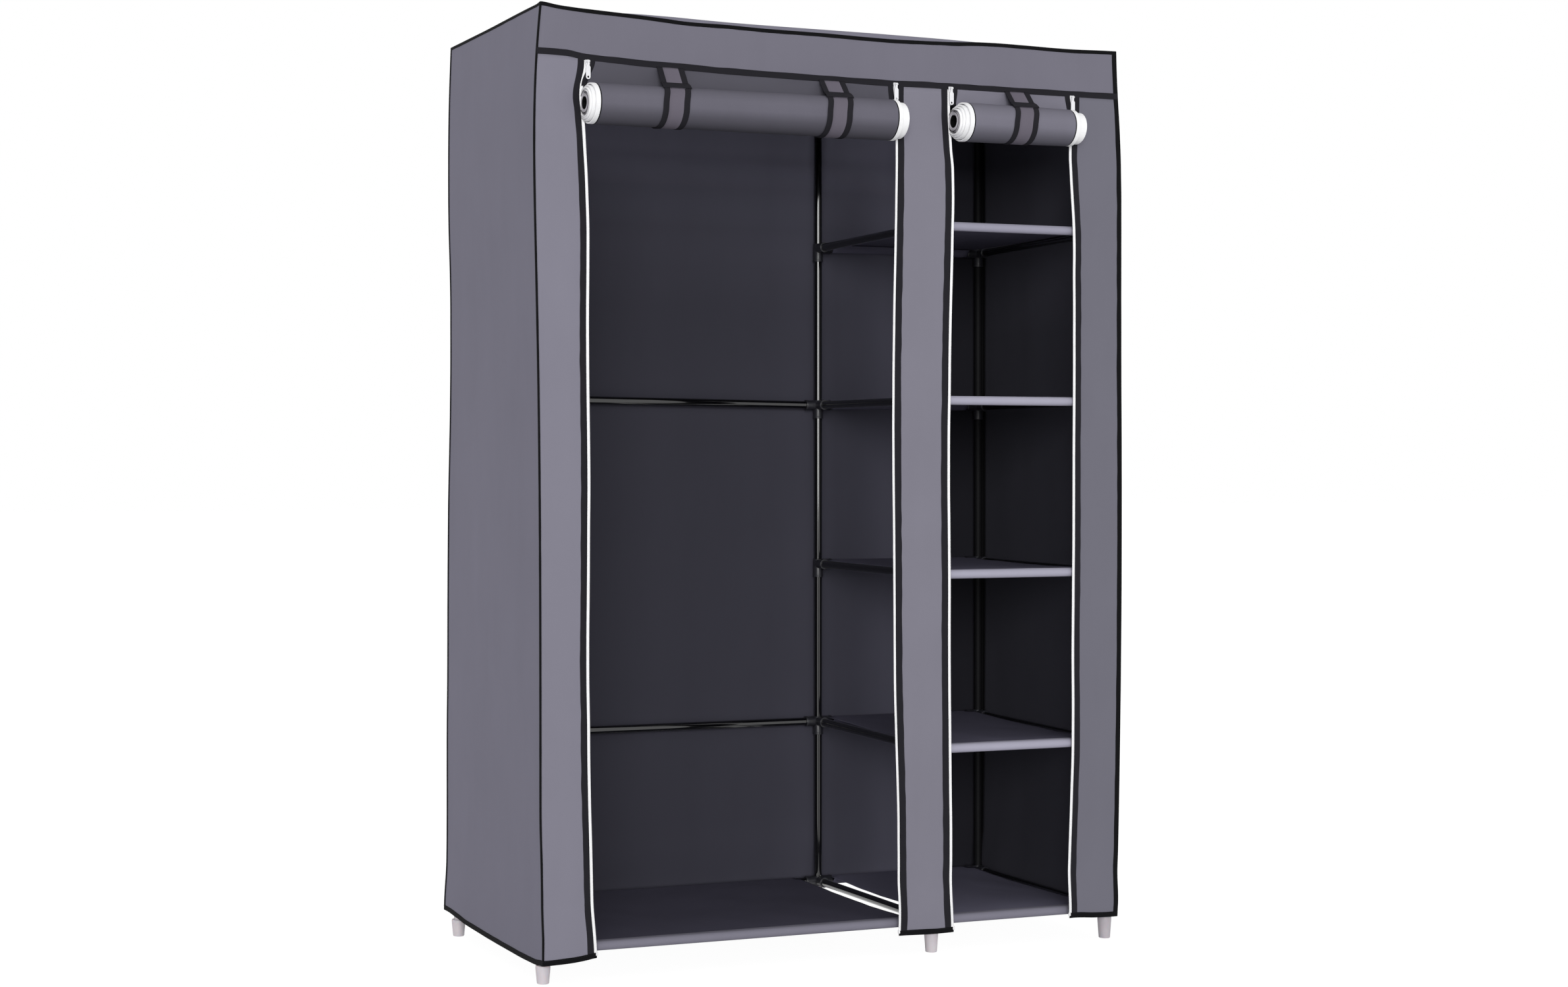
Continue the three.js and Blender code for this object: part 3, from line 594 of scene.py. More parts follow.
# %% Hard finishes
def coated_steel(graph):
    wavy = graph.cloud(35, detail=2)
    orange_peel = graph.cloud(420, detail=1)
    return {
        "Base Color": graph.tint(wavy, paint(6, 6, 8), paint(11, 11, 13)),
        "Roughness": 0.06 + 0.06 * wavy,
        "Normal": graph.bump(orange_peel, 0.03, 0.2 * MM),
    }


def moulded(dark, pale, roughness, grain_scale=1100):
    def make(graph):
        grain = graph.cloud(grain_scale, detail=2)
        flow = graph.cloud(40, detail=3)
        return {
            "Base Color": graph.tint(flow, dark, pale),
            "Roughness": roughness + 0.15 * grain,
            "Normal": graph.bump(grain, 0.12, 0.15 * MM),
        }

    return make


def milky_plastic(name, dark, pale):
    """The plastic of the feet, which lets a little light in under its surface."""
    make = moulded(paint(*dark), paint(*pale), 0.38)
    return finish(name, make, Subsurface_Weight=0.15, Subsurface_Scale=4 * MM)


tube_black = finish(
    "glossy black tube", coated_steel, Metallic=0.0, Coat_Weight=0.8, Coat_Roughness=0.04,
)
tube_dull = finish(
    "duller black tube", moulded(paint(8, 8, 10), paint(14, 14, 17), 0.6), Specular_IOR_Level=0.2,
)
fitting_black = finish("black plastic", moulded(paint(30, 30, 35), paint(46, 46, 52), 0.3))
foot_pale = milky_plastic("pale plastic", (205, 197, 203), (222, 216, 220))
# A greyer copy of the pale plastic: painted shade for the right feet.
foot_shaded = milky_plastic("pale plastic with painted shade", (178, 171, 178), (194, 188, 193))
slider_white = finish("white enamel", moulded(paint(232, 232, 236), paint(246, 246, 248), 0.22, 300))
print("finishes in all:", len(bpy.data.materials))

# %% [markdown]
# ## Shapes
# Nearly every piece here is a row of outlines joined into a net: a tube is rings, a binding is
# one flat section carried along a seam, and a wall of cloth is lines of points. So one class
# collects points and faces, joins rows, and turns the result into a Blender mesh with smooth
# shading that still breaks at real edges.

# %% Shapes
class Shape:
    """The points and faces of one piece, each face with the number of its finish."""

    def __init__(self):
        self.points = []
        self.faces = []
        self.finishes = []

    def add(self, points):
        first = len(self.points)
        self.points.extend(points)
        return list(range(first, len(self.points)))

    def face(self, corners, finish_number=0):
        self.faces.append(tuple(corners))
        self.finishes.append(finish_number)

    def net(self, rows, finish_at=lambda row, column: 0, loop=False):
        """Joins rows of as many points each. Where finish_at gives None, there is no face."""
        lines = [self.add(row) for row in rows]
        count = len(lines[0])
        for row, (lower, upper) in enumerate(zip(lines, lines[1:])):
            for column in range(count if loop else count - 1):
                number = finish_at(row, column)
                if number is not None:
                    following = (column + 1) % count
                    quad = (lower[column], lower[following], upper[following], upper[column])
                    self.face(quad, number)
        return lines

    def tube(self, rows, number=0):
        """Rows of closed outlines, joined and capped at both ends."""
        lines = self.net(rows, lambda row, column: number, loop=True)
        self.face(reversed(lines[0]), number)
        self.face(lines[-1], number)

    def turned(self, start, axis, profile, number=0, sides=28):
        """A piece as from a lathe: (how far along the axis, radius) for each ring."""
        side = (axis.cross(up) if abs(axis.z) < 0.9 else left.copy()).normalized()
        other = axis.cross(side)
        turns = [2 * math.pi * index / sides for index in range(sides)]
        directions = [side * math.cos(turn) + other * math.sin(turn) for turn in turns]
        rows = [[start + axis * far + d * radius for d in directions] for far, radius in profile]
        self.tube(rows, number)

    def make(self, name, materials, body="frame_and_cover", sharp=35):
        mesh = bpy.data.meshes.new(name)
        mesh.from_pydata([point + corner for point in self.points], [], self.faces)
        for material in materials:
            mesh.materials.append(material)
        mesh.polygons.foreach_set("material_index", self.finishes)
        mesh.polygons.foreach_set("use_smooth", [True] * len(self.faces))
        mesh.set_sharp_from_angle(angle=math.radians(sharp))
        mesh.validate()
        piece = bpy.data.objects.new(name, mesh)
        bpy.context.scene.collection.objects.link(piece)
        if body:
            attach(piece, body)
        return piece


def thicken(piece, thickness=cloth_thickness, inside=0):
    """Gives a net its thickness on the far side of its faces; inside shifts to another finish."""
    solid = piece.modifiers.new("thickness", "SOLIDIFY")
    solid.thickness = thickness
    solid.offset = -1
    solid.material_offset = inside
    solid.material_offset_rim = inside
    return piece


def facing(rows, outward):
    """The rows in the order that turns the faces of their net outward."""
    first, second, third = rows[0][0], rows[0][1], rows[1][0]
    normal = (second - first).cross(third - first)
    return rows if normal.dot(outward) > 0 else [list(reversed(row)) for row in rows]


trial_tube = Shape()
trial_tube.turned(Vector(), up, [(0, tube_radius), (width, tube_radius)])
print("faces of one plain tube:", len(trial_tube.faces))

# %% [markdown]
# ## Frame
# Each level is made of short tubes that end in the sockets of moulded fittings. The model has
# ten-sided tubes, whose flat facets would catch the light in stripes, so round ones with lips at
# the mouths of the sockets stand in for them. They have the same radii and the same axes, apart
# from the few millimetres by which the photograph shows each level off its even place.

# %% Tubes and fittings
socket_reach = 30 * MM
lip = 0.6 * MM
mouth_gap = 0.3 * MM
sleeve_above = 10 * MM
sleeve_below = 28 * MM
bottom_sleeve_below = 10 * MM
top_sleeve_above = 22 * MM
socket_profile = [
    (0, fitting_radius), (socket_reach - 5 * MM, fitting_radius - 0.2 * MM),
    (socket_reach - 4.4 * MM, fitting_radius + lip), (socket_reach - 0.8 * MM, fitting_radius + lip),
    (socket_reach - 0.2 * MM, fitting_radius + 0.2 * MM), (socket_reach, tube_radius + mouth_gap),
]


def add_sleeve(shape, x, y, low, high):
    tall = high - low
    profile = [
        (0, tube_radius + mouth_gap), (0.3 * MM, fitting_radius), (0.9 * MM, fitting_radius + lip),
        (3.6 * MM, fitting_radius + lip), (4.2 * MM, fitting_radius),
        (tall - 1.2 * MM, fitting_radius), (tall - 0.3 * MM, fitting_radius - 0.5 * MM),
        (tall, tube_radius + mouth_gap),
    ]
    shape.turned(Vector((x, y, low)), up, profile, number=1)


def add_rail(shape, start, end):
    axis = (end - start).normalized()
    length = (end - start).length
    shape.turned(start, axis, [(0, tube_radius), (length, tube_radius)])
    shape.turned(start, axis, socket_profile, number=1)
    shape.turned(end, -axis, socket_profile, number=1)


level_tilts = [(0, 0), (-4.5, 3), (-1.5, 1), (1, 1.5), (4, -2), (0, 0)]


def level_at(tier, y):
    """The height of a level at a depth, as each sits a few millimetres off its even place."""
    front, rear = level_tilts[tier]
    return levels[tier] + mix(front, rear, (y - front_y) / (back_y - front_y)) * MM


def level_frame(name, tier, pairs, low, high, sockets=(), lift=0.0):
    """A level: tubes between pairs of posts, and the fittings that slide over those posts."""
    shape = Shape()

    def joint(place):
        return Vector((*place, level_at(tier, place[1]) + (lift if place == bl else 0)))

    for place in sorted({place for pair in pairs for place in pair}):
        z = joint(place).z
        add_sleeve(shape, *place, z + low, z + high)
    for start, end in pairs:
        add_rail(shape, joint(start), joint(end))
    for place, direction in sockets:
        shape.turned(joint(place), direction, socket_profile, number=1)
    piece = shape.make(f"{name}_round", [tube_black, fitting_black])
    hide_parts(name)


fl, fm, fr = (left_x, front_y), (middle_x, front_y), (right_x, front_y)
bl, bm, br = (left_x, back_y), (middle_x, back_y), (right_x, back_y)
right_bay = [(fm, fr), (bm, br), (fm, bm), (fr, br)]
both_bays = [*right_bay, (fl, fm), (bl, bm), (fl, bl)]
rear_rail_tiers = {1: ("lower", 0.5 * MM), 3: ("upper", 9 * MM)}
level_frame("rail_frame_0", 0, both_bays, -bottom_sleeve_below, sleeve_above)
level_frame("rail_frame_5", tier_count, both_bays, -sleeve_below, top_sleeve_above)
for tier in range(1, tier_count):
    rear_sockets = [(bm, left)] if tier in rear_rail_tiers else []
    level_frame(f"rail_frame_{tier}", tier, right_bay, -sleeve_below, sleeve_above, rear_sockets)
for tier, (where, lift) in rear_rail_tiers.items():
    side_sockets = [(bl, -left)]
    name = f"left_side_rail_{where}"
    level_frame(name, tier, [(fl, bl)], -sleeve_below, sleeve_above, side_sockets, lift)
print("levels:", [round(level / MM) for level in levels])

# %% Posts, rear rails and the hanging rail
post_names = {
    "post_front_left": fl, "post_front_middle": fm, "post_front_right": fr,
    "post_back_left": bl, "post_back_middle": bm, "post_back_right": br,
}
coupling_length = 40 * MM
post_above_foot = 24 * MM
post_above_top_level = 20 * MM


def collar_profile(length, radius, gap, drop, soft):
    """A collar round a tube, both of its ends rounded in three short steps."""
    rounded = [(0, tube_radius + gap), (0.4 * MM, radius - drop), (soft, radius)]
    return [*rounded, *[(length - far, ring) for far, ring in reversed(rounded)]]


coupling_profile = collar_profile(coupling_length, fitting_radius, 0, 0.4 * MM, 1 * MM)
for name, (x, y) in post_names.items():
    low, high = box(name)
    shape = Shape()
    foot_z = low.z + post_above_foot
    tall = min(high.z, top_level + post_above_top_level) - foot_z
    shape.turned(Vector((x, y, foot_z)), up, [(0, tube_radius), (tall, tube_radius)])
    for tier in (2, 4) if x == left_x else ():
        coupling_foot = Vector((x, y, levels[tier] - coupling_length / 2))
        shape.turned(coupling_foot, up, coupling_profile, number=1)
    tube = tube_dull if name == "post_back_right" else tube_black
    post = shape.make(f"{name}_round", [tube, fitting_black])
    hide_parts(name)

for tier, (where, lift) in rear_rail_tiers.items():
    low, high = box(f"back_rail_{where}")
    shape = Shape()
    end = Vector((high.x, back_y, level_at(tier, back_y)))
    start = Vector((low.x, back_y, end.z + lift))
    along_rail = end - start
    rail_profile = [(0, tube_radius), (along_rail.length, tube_radius)]
    shape.turned(start, along_rail.normalized(), rail_profile)
    rail = shape.make(f"back_rail_{where}_round", [tube_black])
    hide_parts(f"back_rail_{where}")

shape = Shape()
clamp_length = 24 * MM
clamp_radius = 10.5 * MM
clamp_profile = collar_profile(clamp_length, clamp_radius, mouth_gap, 0.5 * MM, 1.2 * MM)
rail_ends = [Vector((x, depth / 2, top_level)) for x in (left_x, middle_x)]
add_rail(shape, *rail_ends)
for rail_end in rail_ends:
    shape.turned(rail_end - back * clamp_length / 2, back, clamp_profile, number=1)
rail = shape.make("hanging_rail_round", [tube_black, fitting_black])
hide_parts("hanging_rail")
print("posts:", len(post_names))

# %% [markdown]
# ## Feet
# The foot caps are cups, a little wider at the rim than at the floor, as moulded ones are. The
# outer ones stand a few millimetres further out than their posts. A lathe profile gives the cup
# in a few rings.

# %% Foot caps
foot_radius = 13.5 * MM
foot_bottom_radius = 11 * MM
collar_radius = 9 * MM
foot_top = 49.7 * MM
foot_sides = 40
foot_splay = {left_x: -4.5 * MM, right_x: 4 * MM}
left_cup_height = 33 * MM
other_cup_height = 43 * MM


def foot_profile(cup_height):
    """A tapered cup up to a rounded rim, and a collar that hugs the tube above it."""
    return [
        (0, foot_bottom_radius - 1.6 * MM), (0.25 * MM, foot_bottom_radius - 0.7 * MM),
        (0.8 * MM, foot_bottom_radius - 0.15 * MM), (1.6 * MM, foot_bottom_radius),
        (cup_height - 6 * MM, foot_radius), (cup_height - 1.6 * MM, foot_radius),
        (cup_height - 0.4 * MM, foot_radius - 0.5 * MM), (cup_height, foot_radius - 1.6 * MM),
        (cup_height, collar_radius), (foot_top - 0.6 * MM, collar_radius),
        (foot_top, collar_radius - 0.6 * MM),
    ]


for name, (x, y) in post_names.items():
    node = name.replace("post", "foot")
    place = Vector((x + foot_splay.get(x, 0.0), y, 0))
    cup_height = left_cup_height if x == left_x else other_cup_height
    shape = Shape()
    shape.turned(place, up, foot_profile(cup_height), sides=foot_sides)
    # The right feet take the greyer plastic, a painted shade.
    foot = shape.make(f"{node}_cap", [foot_shaded if x == right_x else foot_pale])
    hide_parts(node)
print("foot caps:", len(post_names))

# %% [markdown]
# ## Stitches and binding
# Every raw edge is wrapped in a folded black tape and sewn through. Modelling the fold itself
# would hide its thickness inside, so the binding is one closed section that encloses the edge of
# the cloth, carried along the seam. The stitches are small spindles of thread beside its edge.

# %% Stitches and binding
binding_stand = 0.8 * MM
stitch_pitch = 4.6 * MM
stitch_length = 3.2 * MM
stitch_radius = 0.32 * MM


def flat_section(reach, overhang=1.0 * MM):
    """A binding folded over one edge: (into the cloth, out of the cloth) round its outline."""
    soft = 0.5 * MM
    stand = binding_stand
    under = cloth_thickness
    return [
        (-overhang, stand * 0.4), (-overhang + soft, stand), (reach - soft, stand),
        (reach, stand * 0.4), (reach, -under - stand * 0.4), (reach - soft, -under - stand),
        (-overhang + soft, -under - stand), (-overhang, -under - stand * 0.4),
    ]


def corner_section(first_reach, second_reach):
    """A binding folded round a seam between two walls, which each run away from it."""
    soft = 0.6 * MM
    stand = binding_stand
    inner = cloth_thickness + stand
    return [
        (-stand, soft), (-stand + soft * 0.3, -stand + soft * 0.3), (soft, -stand),
        (first_reach - soft, -stand), (first_reach, 0), (first_reach, cloth_thickness),
        (first_reach - soft, inner), (inner, inner), (inner, second_reach - soft),
        (cloth_thickness, second_reach), (0, second_reach), (-stand, second_reach - soft),
    ]


def carried(path, section, first, second, seed):
    """Rows of a section carried along a path, with the small waves that a sewn tape has."""
    rows = []
    for point in path:
        swell = 1 + 0.08 * noise.noise(point * 30 + Vector((seed, 0, 0)))
        rows.append([point + (first * a + second * b) * swell for a, b in section])
    return rows


def add_stitches(shape, path, outward, number):
    """Spindles of thread along a path, lifted off the tape."""
    distance = 0.0
    for start, end in zip(path, path[1:]):
        length = (end - start).length
        along = (end - start).normalized()
        across = along.cross(outward).normalized()
        while distance < length:
            middle_point = start + along * distance + outward * 0.1 * MM
            tips = [middle_point + along * stitch_length * half for half in (-0.5, 0.5)]
            waist = [across, outward, -across, -outward]
            ids = shape.add([*tips, *[middle_point + d * stitch_radius for d in waist]])
            for index in range(4):
                here, following = ids[2 + index], ids[2 + (index + 1) % 4]
                shape.face((ids[0], following, here), number)
                shape.face((ids[1], here, following), number)
            distance += stitch_pitch
        distance -= length


def binding(name, path, first, second, section, stitch_at=None, stitch_out=None, tape=edge_tape):
    shape = Shape()
    rows = carried(path, section, first, second, len(name))
    shape.tube(rows)
    if stitch_at is not None:
        into, out = stitch_at
        add_stitches(shape, [point + first * into + second * out for point in path], stitch_out, 1)
    return shape.make(name, [tape, thread])


print("points round a flat binding:", len(flat_section(10 * MM)))

# %% [markdown]
# ## Walls of the cover
# Each wall is a net of points asked from its own function, thickened to real cloth with a
# Solidify modifier, which can also give the inner side its own darker cloth, a painted shade. A
# cloth simulation is another way. These walls are taut, so noise along the cloth stands in for
# one here: it is quick, and it comes out the same way every time.

# %% Walls of the cover
net_step = 12 * MM
wall_run = 1600 * MM
all_rows = [*steps_between(0, 1, net_step / wall_run), *steps_between(1, 2, 1 / 8)[1:]]
wall_rows = [row for row in all_rows if row <= 1]
header_rows = [row for row in all_rows if row >= 1]


def cover_panel(name, rows, outward, finishes=(None, None)):
    shape = Shape()
    shape.net(facing(rows, outward))
    outside, inside = finishes
    outside = outside or flap_cloths.get(name, cover_outside)
    piece = shape.make(f"{name}_cloth", [outside, inside or cover_inside])
    thicken(piece, inside=1)
    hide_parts(name)
    return piece


x_steps = steps_between(0, width, net_step)
y_steps = [*steps_between(0, 24 * MM, 3 * MM), *steps_between(24 * MM, depth, net_step)[1:]]
cover_panel("cover_top", [[top_point(x, y) for x in x_steps] for y in y_steps], up)
cover_panel(
    "cover_header", [[front_point(x, row) for x in x_steps] for row in header_rows],
    -back,
)
cover_panel(
    "cover_back", [[back_point(x, row) for x in x_steps] for row in all_rows],
    back, finishes=(None, back_inside),
)
for name, wall, outward in (("left", left_point, left), ("right", right_point, -left)):
    rows = [[wall(y, row) for y in y_steps] for row in all_rows]
    finishes = (side_outside, right_inside if name == "right" else cover_inside)
    cover_panel(f"cover_{name}_side", rows, outward, finishes)

# %% [markdown]
# ## Zips and flaps
# The front is three flaps with a zip on each free edge. The zips are white, five or six
# millimetres of tape and teeth, and they wander a little from side to side, as the cloth hangs
# free. A flap's edge, its binding and its zip all follow one line, so the line is written once.
# The sway is a list of heights with the shift to the right there, both in millimetres. The
# teeth are too small to count in the photograph, so their size and pitch are a guess.

# %% The lines of the four zips
tape_width = 5 * MM
teeth_gap = 0.3 * MM
fine_step = 8 * MM


class ZipLine:
    """A zip: where its head is, how far its foot leans over, and how it sways between them."""

    def __init__(self, tape_node, flap_is_left, white, band, sway):
        low, high = box(tape_node)
        self.side = 1 if flap_is_left else -1
        self.white = white
        self.band = band
        self.head = low.x + tape_width if flap_is_left else high.x - tape_width
        self.lean = high.x + teeth_gap - self.head if flap_is_left else 0.0
        if self.lean < 1 * MM:
            self.lean = 0.0
        self.sway = curve_mm(*sway)

    def x_at(self, row, inset=0.0):
        """The x of the zip at a row, or so far into the flap from it."""
        straight = self.head + self.lean * (1 - row)
        z = wall_height(straight, 0, min(row, 1))
        return straight + self.sway(z) - self.side * inset

    def point(self, row, inset=0.0, stand=0.0):
        return front_point(self.x_at(row, inset), row) - back * stand


zips = {
    "left_door_left": ZipLine("zip_tape_left_door_left", True, 6.2 * MM, 12 * MM, [
        (40, -2.3), (142, -3.7), (248, -5.2), (343, -6.8), (462, -7), (580, -7.1), (698, -4.9),
        (816, -2.9), (935, -1.5), (1171, -1.9), (1300, 0.4), (1408, -0.2), (1497, -3.3),
        (1560, -6.5), (1600, -8.5), (1652, 0),
    ]),
    "left_door_right": ZipLine("zip_tape_left_door_right", False, 5 * MM, 13.4 * MM, [
        (40, 0.7), (70, 2.5), (100, 4.8), (138, 5.4), (213, 5.2), (313, 3.8), (437, -0.3),
        (562, -3), (810, -4.3), (935, -5.8), (1059, -6.5), (1183, -5), (1358, -1.1), (1432, 0.3),
        (1526, 1.1), (1645, 0),
    ]),
    "right_door_left": ZipLine("zip_tape_right_door_left", True, 6.2 * MM, 13.4 * MM, [
        (40, 1.2), (94, 2.2), (131, 3.5), (207, 4.4), (307, 3.2), (433, 1.9), (558, 0.6),
        (684, 0.8), (809, -0.2), (935, -0.6), (1060, 1.1), (1186, 2.9), (1362, 7.6), (1487, 8.7),
        (1531, 4.6), (1640, 0),
    ]),
    "right_door_right": ZipLine("zip_tape_right_door_right", False, 6 * MM, 12 * MM, [
        (40, -13), (77, -11.8), (115, -9.5), (192, -6), (294, -2.1), (422, 0.8), (550, 0.4),
        (678, 1.3), (807, 1.9), (935, 2.5), (1063, 3.7), (1191, 3.7), (1294, 2.9), (1371, 2.7),
        (1447, -1.4), (1498, -4.4), (1543, -5.5), (1640, 0),
    ]),
}
print("zip heads:", [round(line.head / MM) for line in zips.values()])

# %% Flaps, their bindings and the zips on them
flap_lap = 2 * MM


def flap(name, left_edge, right_edge, flat_width):
    rows = []
    for row in wall_rows:
        start, end = left_edge(row), right_edge(row)
        rows.append([front_point(mix(start, end, share), row) for share in steps_between(0, 1, 0.1)])
    cover_panel(name, rows, -back)


def zip_edge(line):
    return lambda row: line.x_at(row, tape_width + flap_lap)


head_of = {name: line.head for name, line in zips.items()}
flap("cover_left_flap", lambda row: 0.0, zip_edge(zips["left_door_left"]), head_of["left_door_left"])
flap(
    "cover_centre_flap", zip_edge(zips["left_door_right"]), zip_edge(zips["right_door_left"]),
    head_of["right_door_left"] - head_of["left_door_right"],
)
flap(
    "cover_right_flap", zip_edge(zips["right_door_right"]), lambda row: width,
    width - head_of["right_door_right"],
)

tooth_pitch = 3 * MM
tooth_size = Vector((2.1 * MM, 2.0 * MM, 1.5 * MM))
tooth_sides = 8
teeth_left_off = 3
tape_thickness = 0.8 * MM
tape_insets = [teeth_gap, 2.2 * MM, 3.6 * MM, tape_width + 4 * MM]
stop_sides = 12
stop_profile = [(0, 1.6 * MM), (0.5 * MM, 2.2 * MM), (6 * MM, 2.2 * MM), (6.6 * MM, 1.6 * MM)]


def add_tooth(shape, centre, number):
    """A rounded moulded tooth: four flat rings, the outer two smaller."""
    rows = []
    for level, share in ((-0.5, 0.62), (-0.22, 1), (0.22, 1), (0.5, 0.62)):
        ring = []
        for index in range(tooth_sides):
            turn = 2 * math.pi * (index + 0.5) / tooth_sides
            reach_x = tooth_size.x / 2 * share * math.cos(turn)
            reach_y = tooth_size.y / 2 * share * math.sin(turn)
            ring.append(centre + Vector((reach_x, reach_y, tooth_size.z * level)))
        rows.append(ring)
    shape.tube(rows, number)


fine_rows = steps_between(0, 1, fine_step / wall_run)
for name, line in zips.items():
    inward = left * line.side
    strip = Shape()
    rows = [[line.point(row, inset, -0.3 * MM) for inset in tape_insets] for row in fine_rows]
    strip.net(facing(rows, -back))
    tape = thicken(strip.make(f"zip_tape_{name}_woven", [zip_white]), tape_thickness)
    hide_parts(f"zip_tape_{name}")

    teeth = Shape()
    foot_z, head_z = line.point(0).z, line.point(1).z
    for index in range(int(foot_z / tooth_pitch) + teeth_left_off, int(head_z / tooth_pitch)):
        row = (index * tooth_pitch - foot_z) / (head_z - foot_z)
        add_tooth(teeth, line.point(row, teeth_gap + 0.9 * MM, -0.4 * MM), 0)
    stop = line.point(0.004, teeth_gap + 0.6 * MM, 0.0)
    teeth.turned(stop - up * 3 * MM, up, stop_profile, sides=stop_sides)
    chain = teeth.make(f"zip_teeth_{name}", [zip_white])

    edge_path = [line.point(row, line.white) for row in fine_rows]
    band = binding(
        f"zip_binding_{name}", edge_path, inward, -back, flat_section(line.band, 0.2 * MM),
        stitch_at=(2 * MM, binding_stand), stitch_out=-back, tape=binding_tape,
    )

# %% [markdown]
# ## Seams, corners and hems
# The black lines that draw the wardrobe's outline are the same binding: along the top seams,
# down the four corners, along the header's lower edge and round the hem.

# %% Seams, corners and hems
seam_rows = [*steps_between(0, 1, fine_step / wall_run), *steps_between(1, 2, 0.1)[1:]]
seam_step = 9 * MM
fine_x = steps_between(0, width, seam_step)
fine_y = steps_between(0, depth, seam_step)
corner_bands = {
    "front_left": ([left_point(0, row) for row in seam_rows], -left, back, (2.5 * MM, 4 * MM)),
    "front_right": ([right_point(0, row) for row in seam_rows], left, back, (9.5 * MM, 8 * MM)),
    "back_left": ([left_point(depth, row) for row in seam_rows], -left, -back, (7 * MM, 6 * MM)),
    "back_right": ([right_point(depth, row) for row in seam_rows], left, -back, (7 * MM, 6 * MM)),
}
for name, (path, first, second, reaches) in corner_bands.items():
    binding(f"corner_binding_{name}", path, first, second, corner_section(*reaches))

top_bands = {
    "front": ([front_point(x, 2) for x in fine_x], -up, back, (6.5 * MM, 6 * MM)),
    "back": ([back_point(x, 2) for x in fine_x], -up, -back, (5 * MM, 6 * MM)),
    "left": ([left_point(y, 2) for y in fine_y], -up, -left, (5 * MM, 6 * MM)),
    "right": ([right_point(y, 2) for y in fine_y], -up, left, (5 * MM, 6 * MM)),
}
for name, (path, first, second, reaches) in top_bands.items():
    binding(f"top_binding_{name}", path, first, second, corner_section(*reaches))

header_edge = [front_point(x, 1) for x in fine_x]
binding(
    "header_binding", header_edge, up, -back, flat_section(10 * MM, 1.5 * MM),
    stitch_at=(8 * MM, binding_stand), stitch_out=-back, tape=binding_tape,
)


def hem_binding(name, path, outward):
    section = flat_section(9 * MM)
    binding(f"hem_binding_{name}", path, up, outward, section, (7 * MM, binding_stand), outward)


hem_binding("left_side", [left_point(y, 0) for y in fine_y], left)
hem_binding("right_side", [right_point(y, 0) for y in fine_y], -left)
hem_binding("back", [back_point(x, 0) for x in fine_x], back)
zip_feet = {name: line.x_at(0, 1 * MM) for name, line in zips.items()}
for name, start, end in (
    ("left_flap", 0, zip_feet["left_door_left"]),
    ("centre_flap", zip_feet["left_door_right"], zip_feet["right_door_left"]),
    ("right_flap", zip_feet["right_door_right"], width),
):
    hem_binding(name, [front_point(x, 0) for x in steps_between(start, end, seam_step)], -back)

# %% [markdown]
# ## Shelves
# Each shelf is one piece of cloth with a sleeve at its front and its back that the tubes slide
# through. Seen from the side its outline is a line that starts under the cloth, goes round the
# front tube, over to the back tube and round it. Carrying that outline across gives the sheet,
# and leaving out the faces of the sleeves at the ends gives the notches round the fittings.

# %% Shelves
sleeve_radius = 8.55 * MM
shelf_thickness = 0.45 * MM
sleeve_seam = 17 * MM
shelf_side_gap = 9 * MM
shelf_sag = 4 * MM
shelf_wave = 1.6 * MM
shelf_calm = 50 * MM
shelf_grain = (60 * MM, 110 * MM)
shelf_end_cover = 6 * MM
sleeve_steps = 16
notch_reach = socket_reach + 0.5 * MM
notch_depth = fitting_radius + 3.5 * MM


def sleeve_arc(centre_y, z, direction):
    """From the tangent under the cloth, round the tube and up to its top; direction 1 faces back."""
    seam = Vector((sleeve_seam, sleeve_radius - 2.5 * MM))
    tangent = math.atan2(seam.y, seam.x) - math.acos(sleeve_radius / seam.length)
    arc = []
    for step in range(sleeve_steps + 1):
        turn = mix(tangent, -1.5 * math.pi, step / sleeve_steps)
        y = centre_y + direction * sleeve_radius * math.cos(turn)
        arc.append((y, z + sleeve_radius * math.sin(turn)))
    return [(centre_y + direction * seam.x, z + seam.y), *arc]


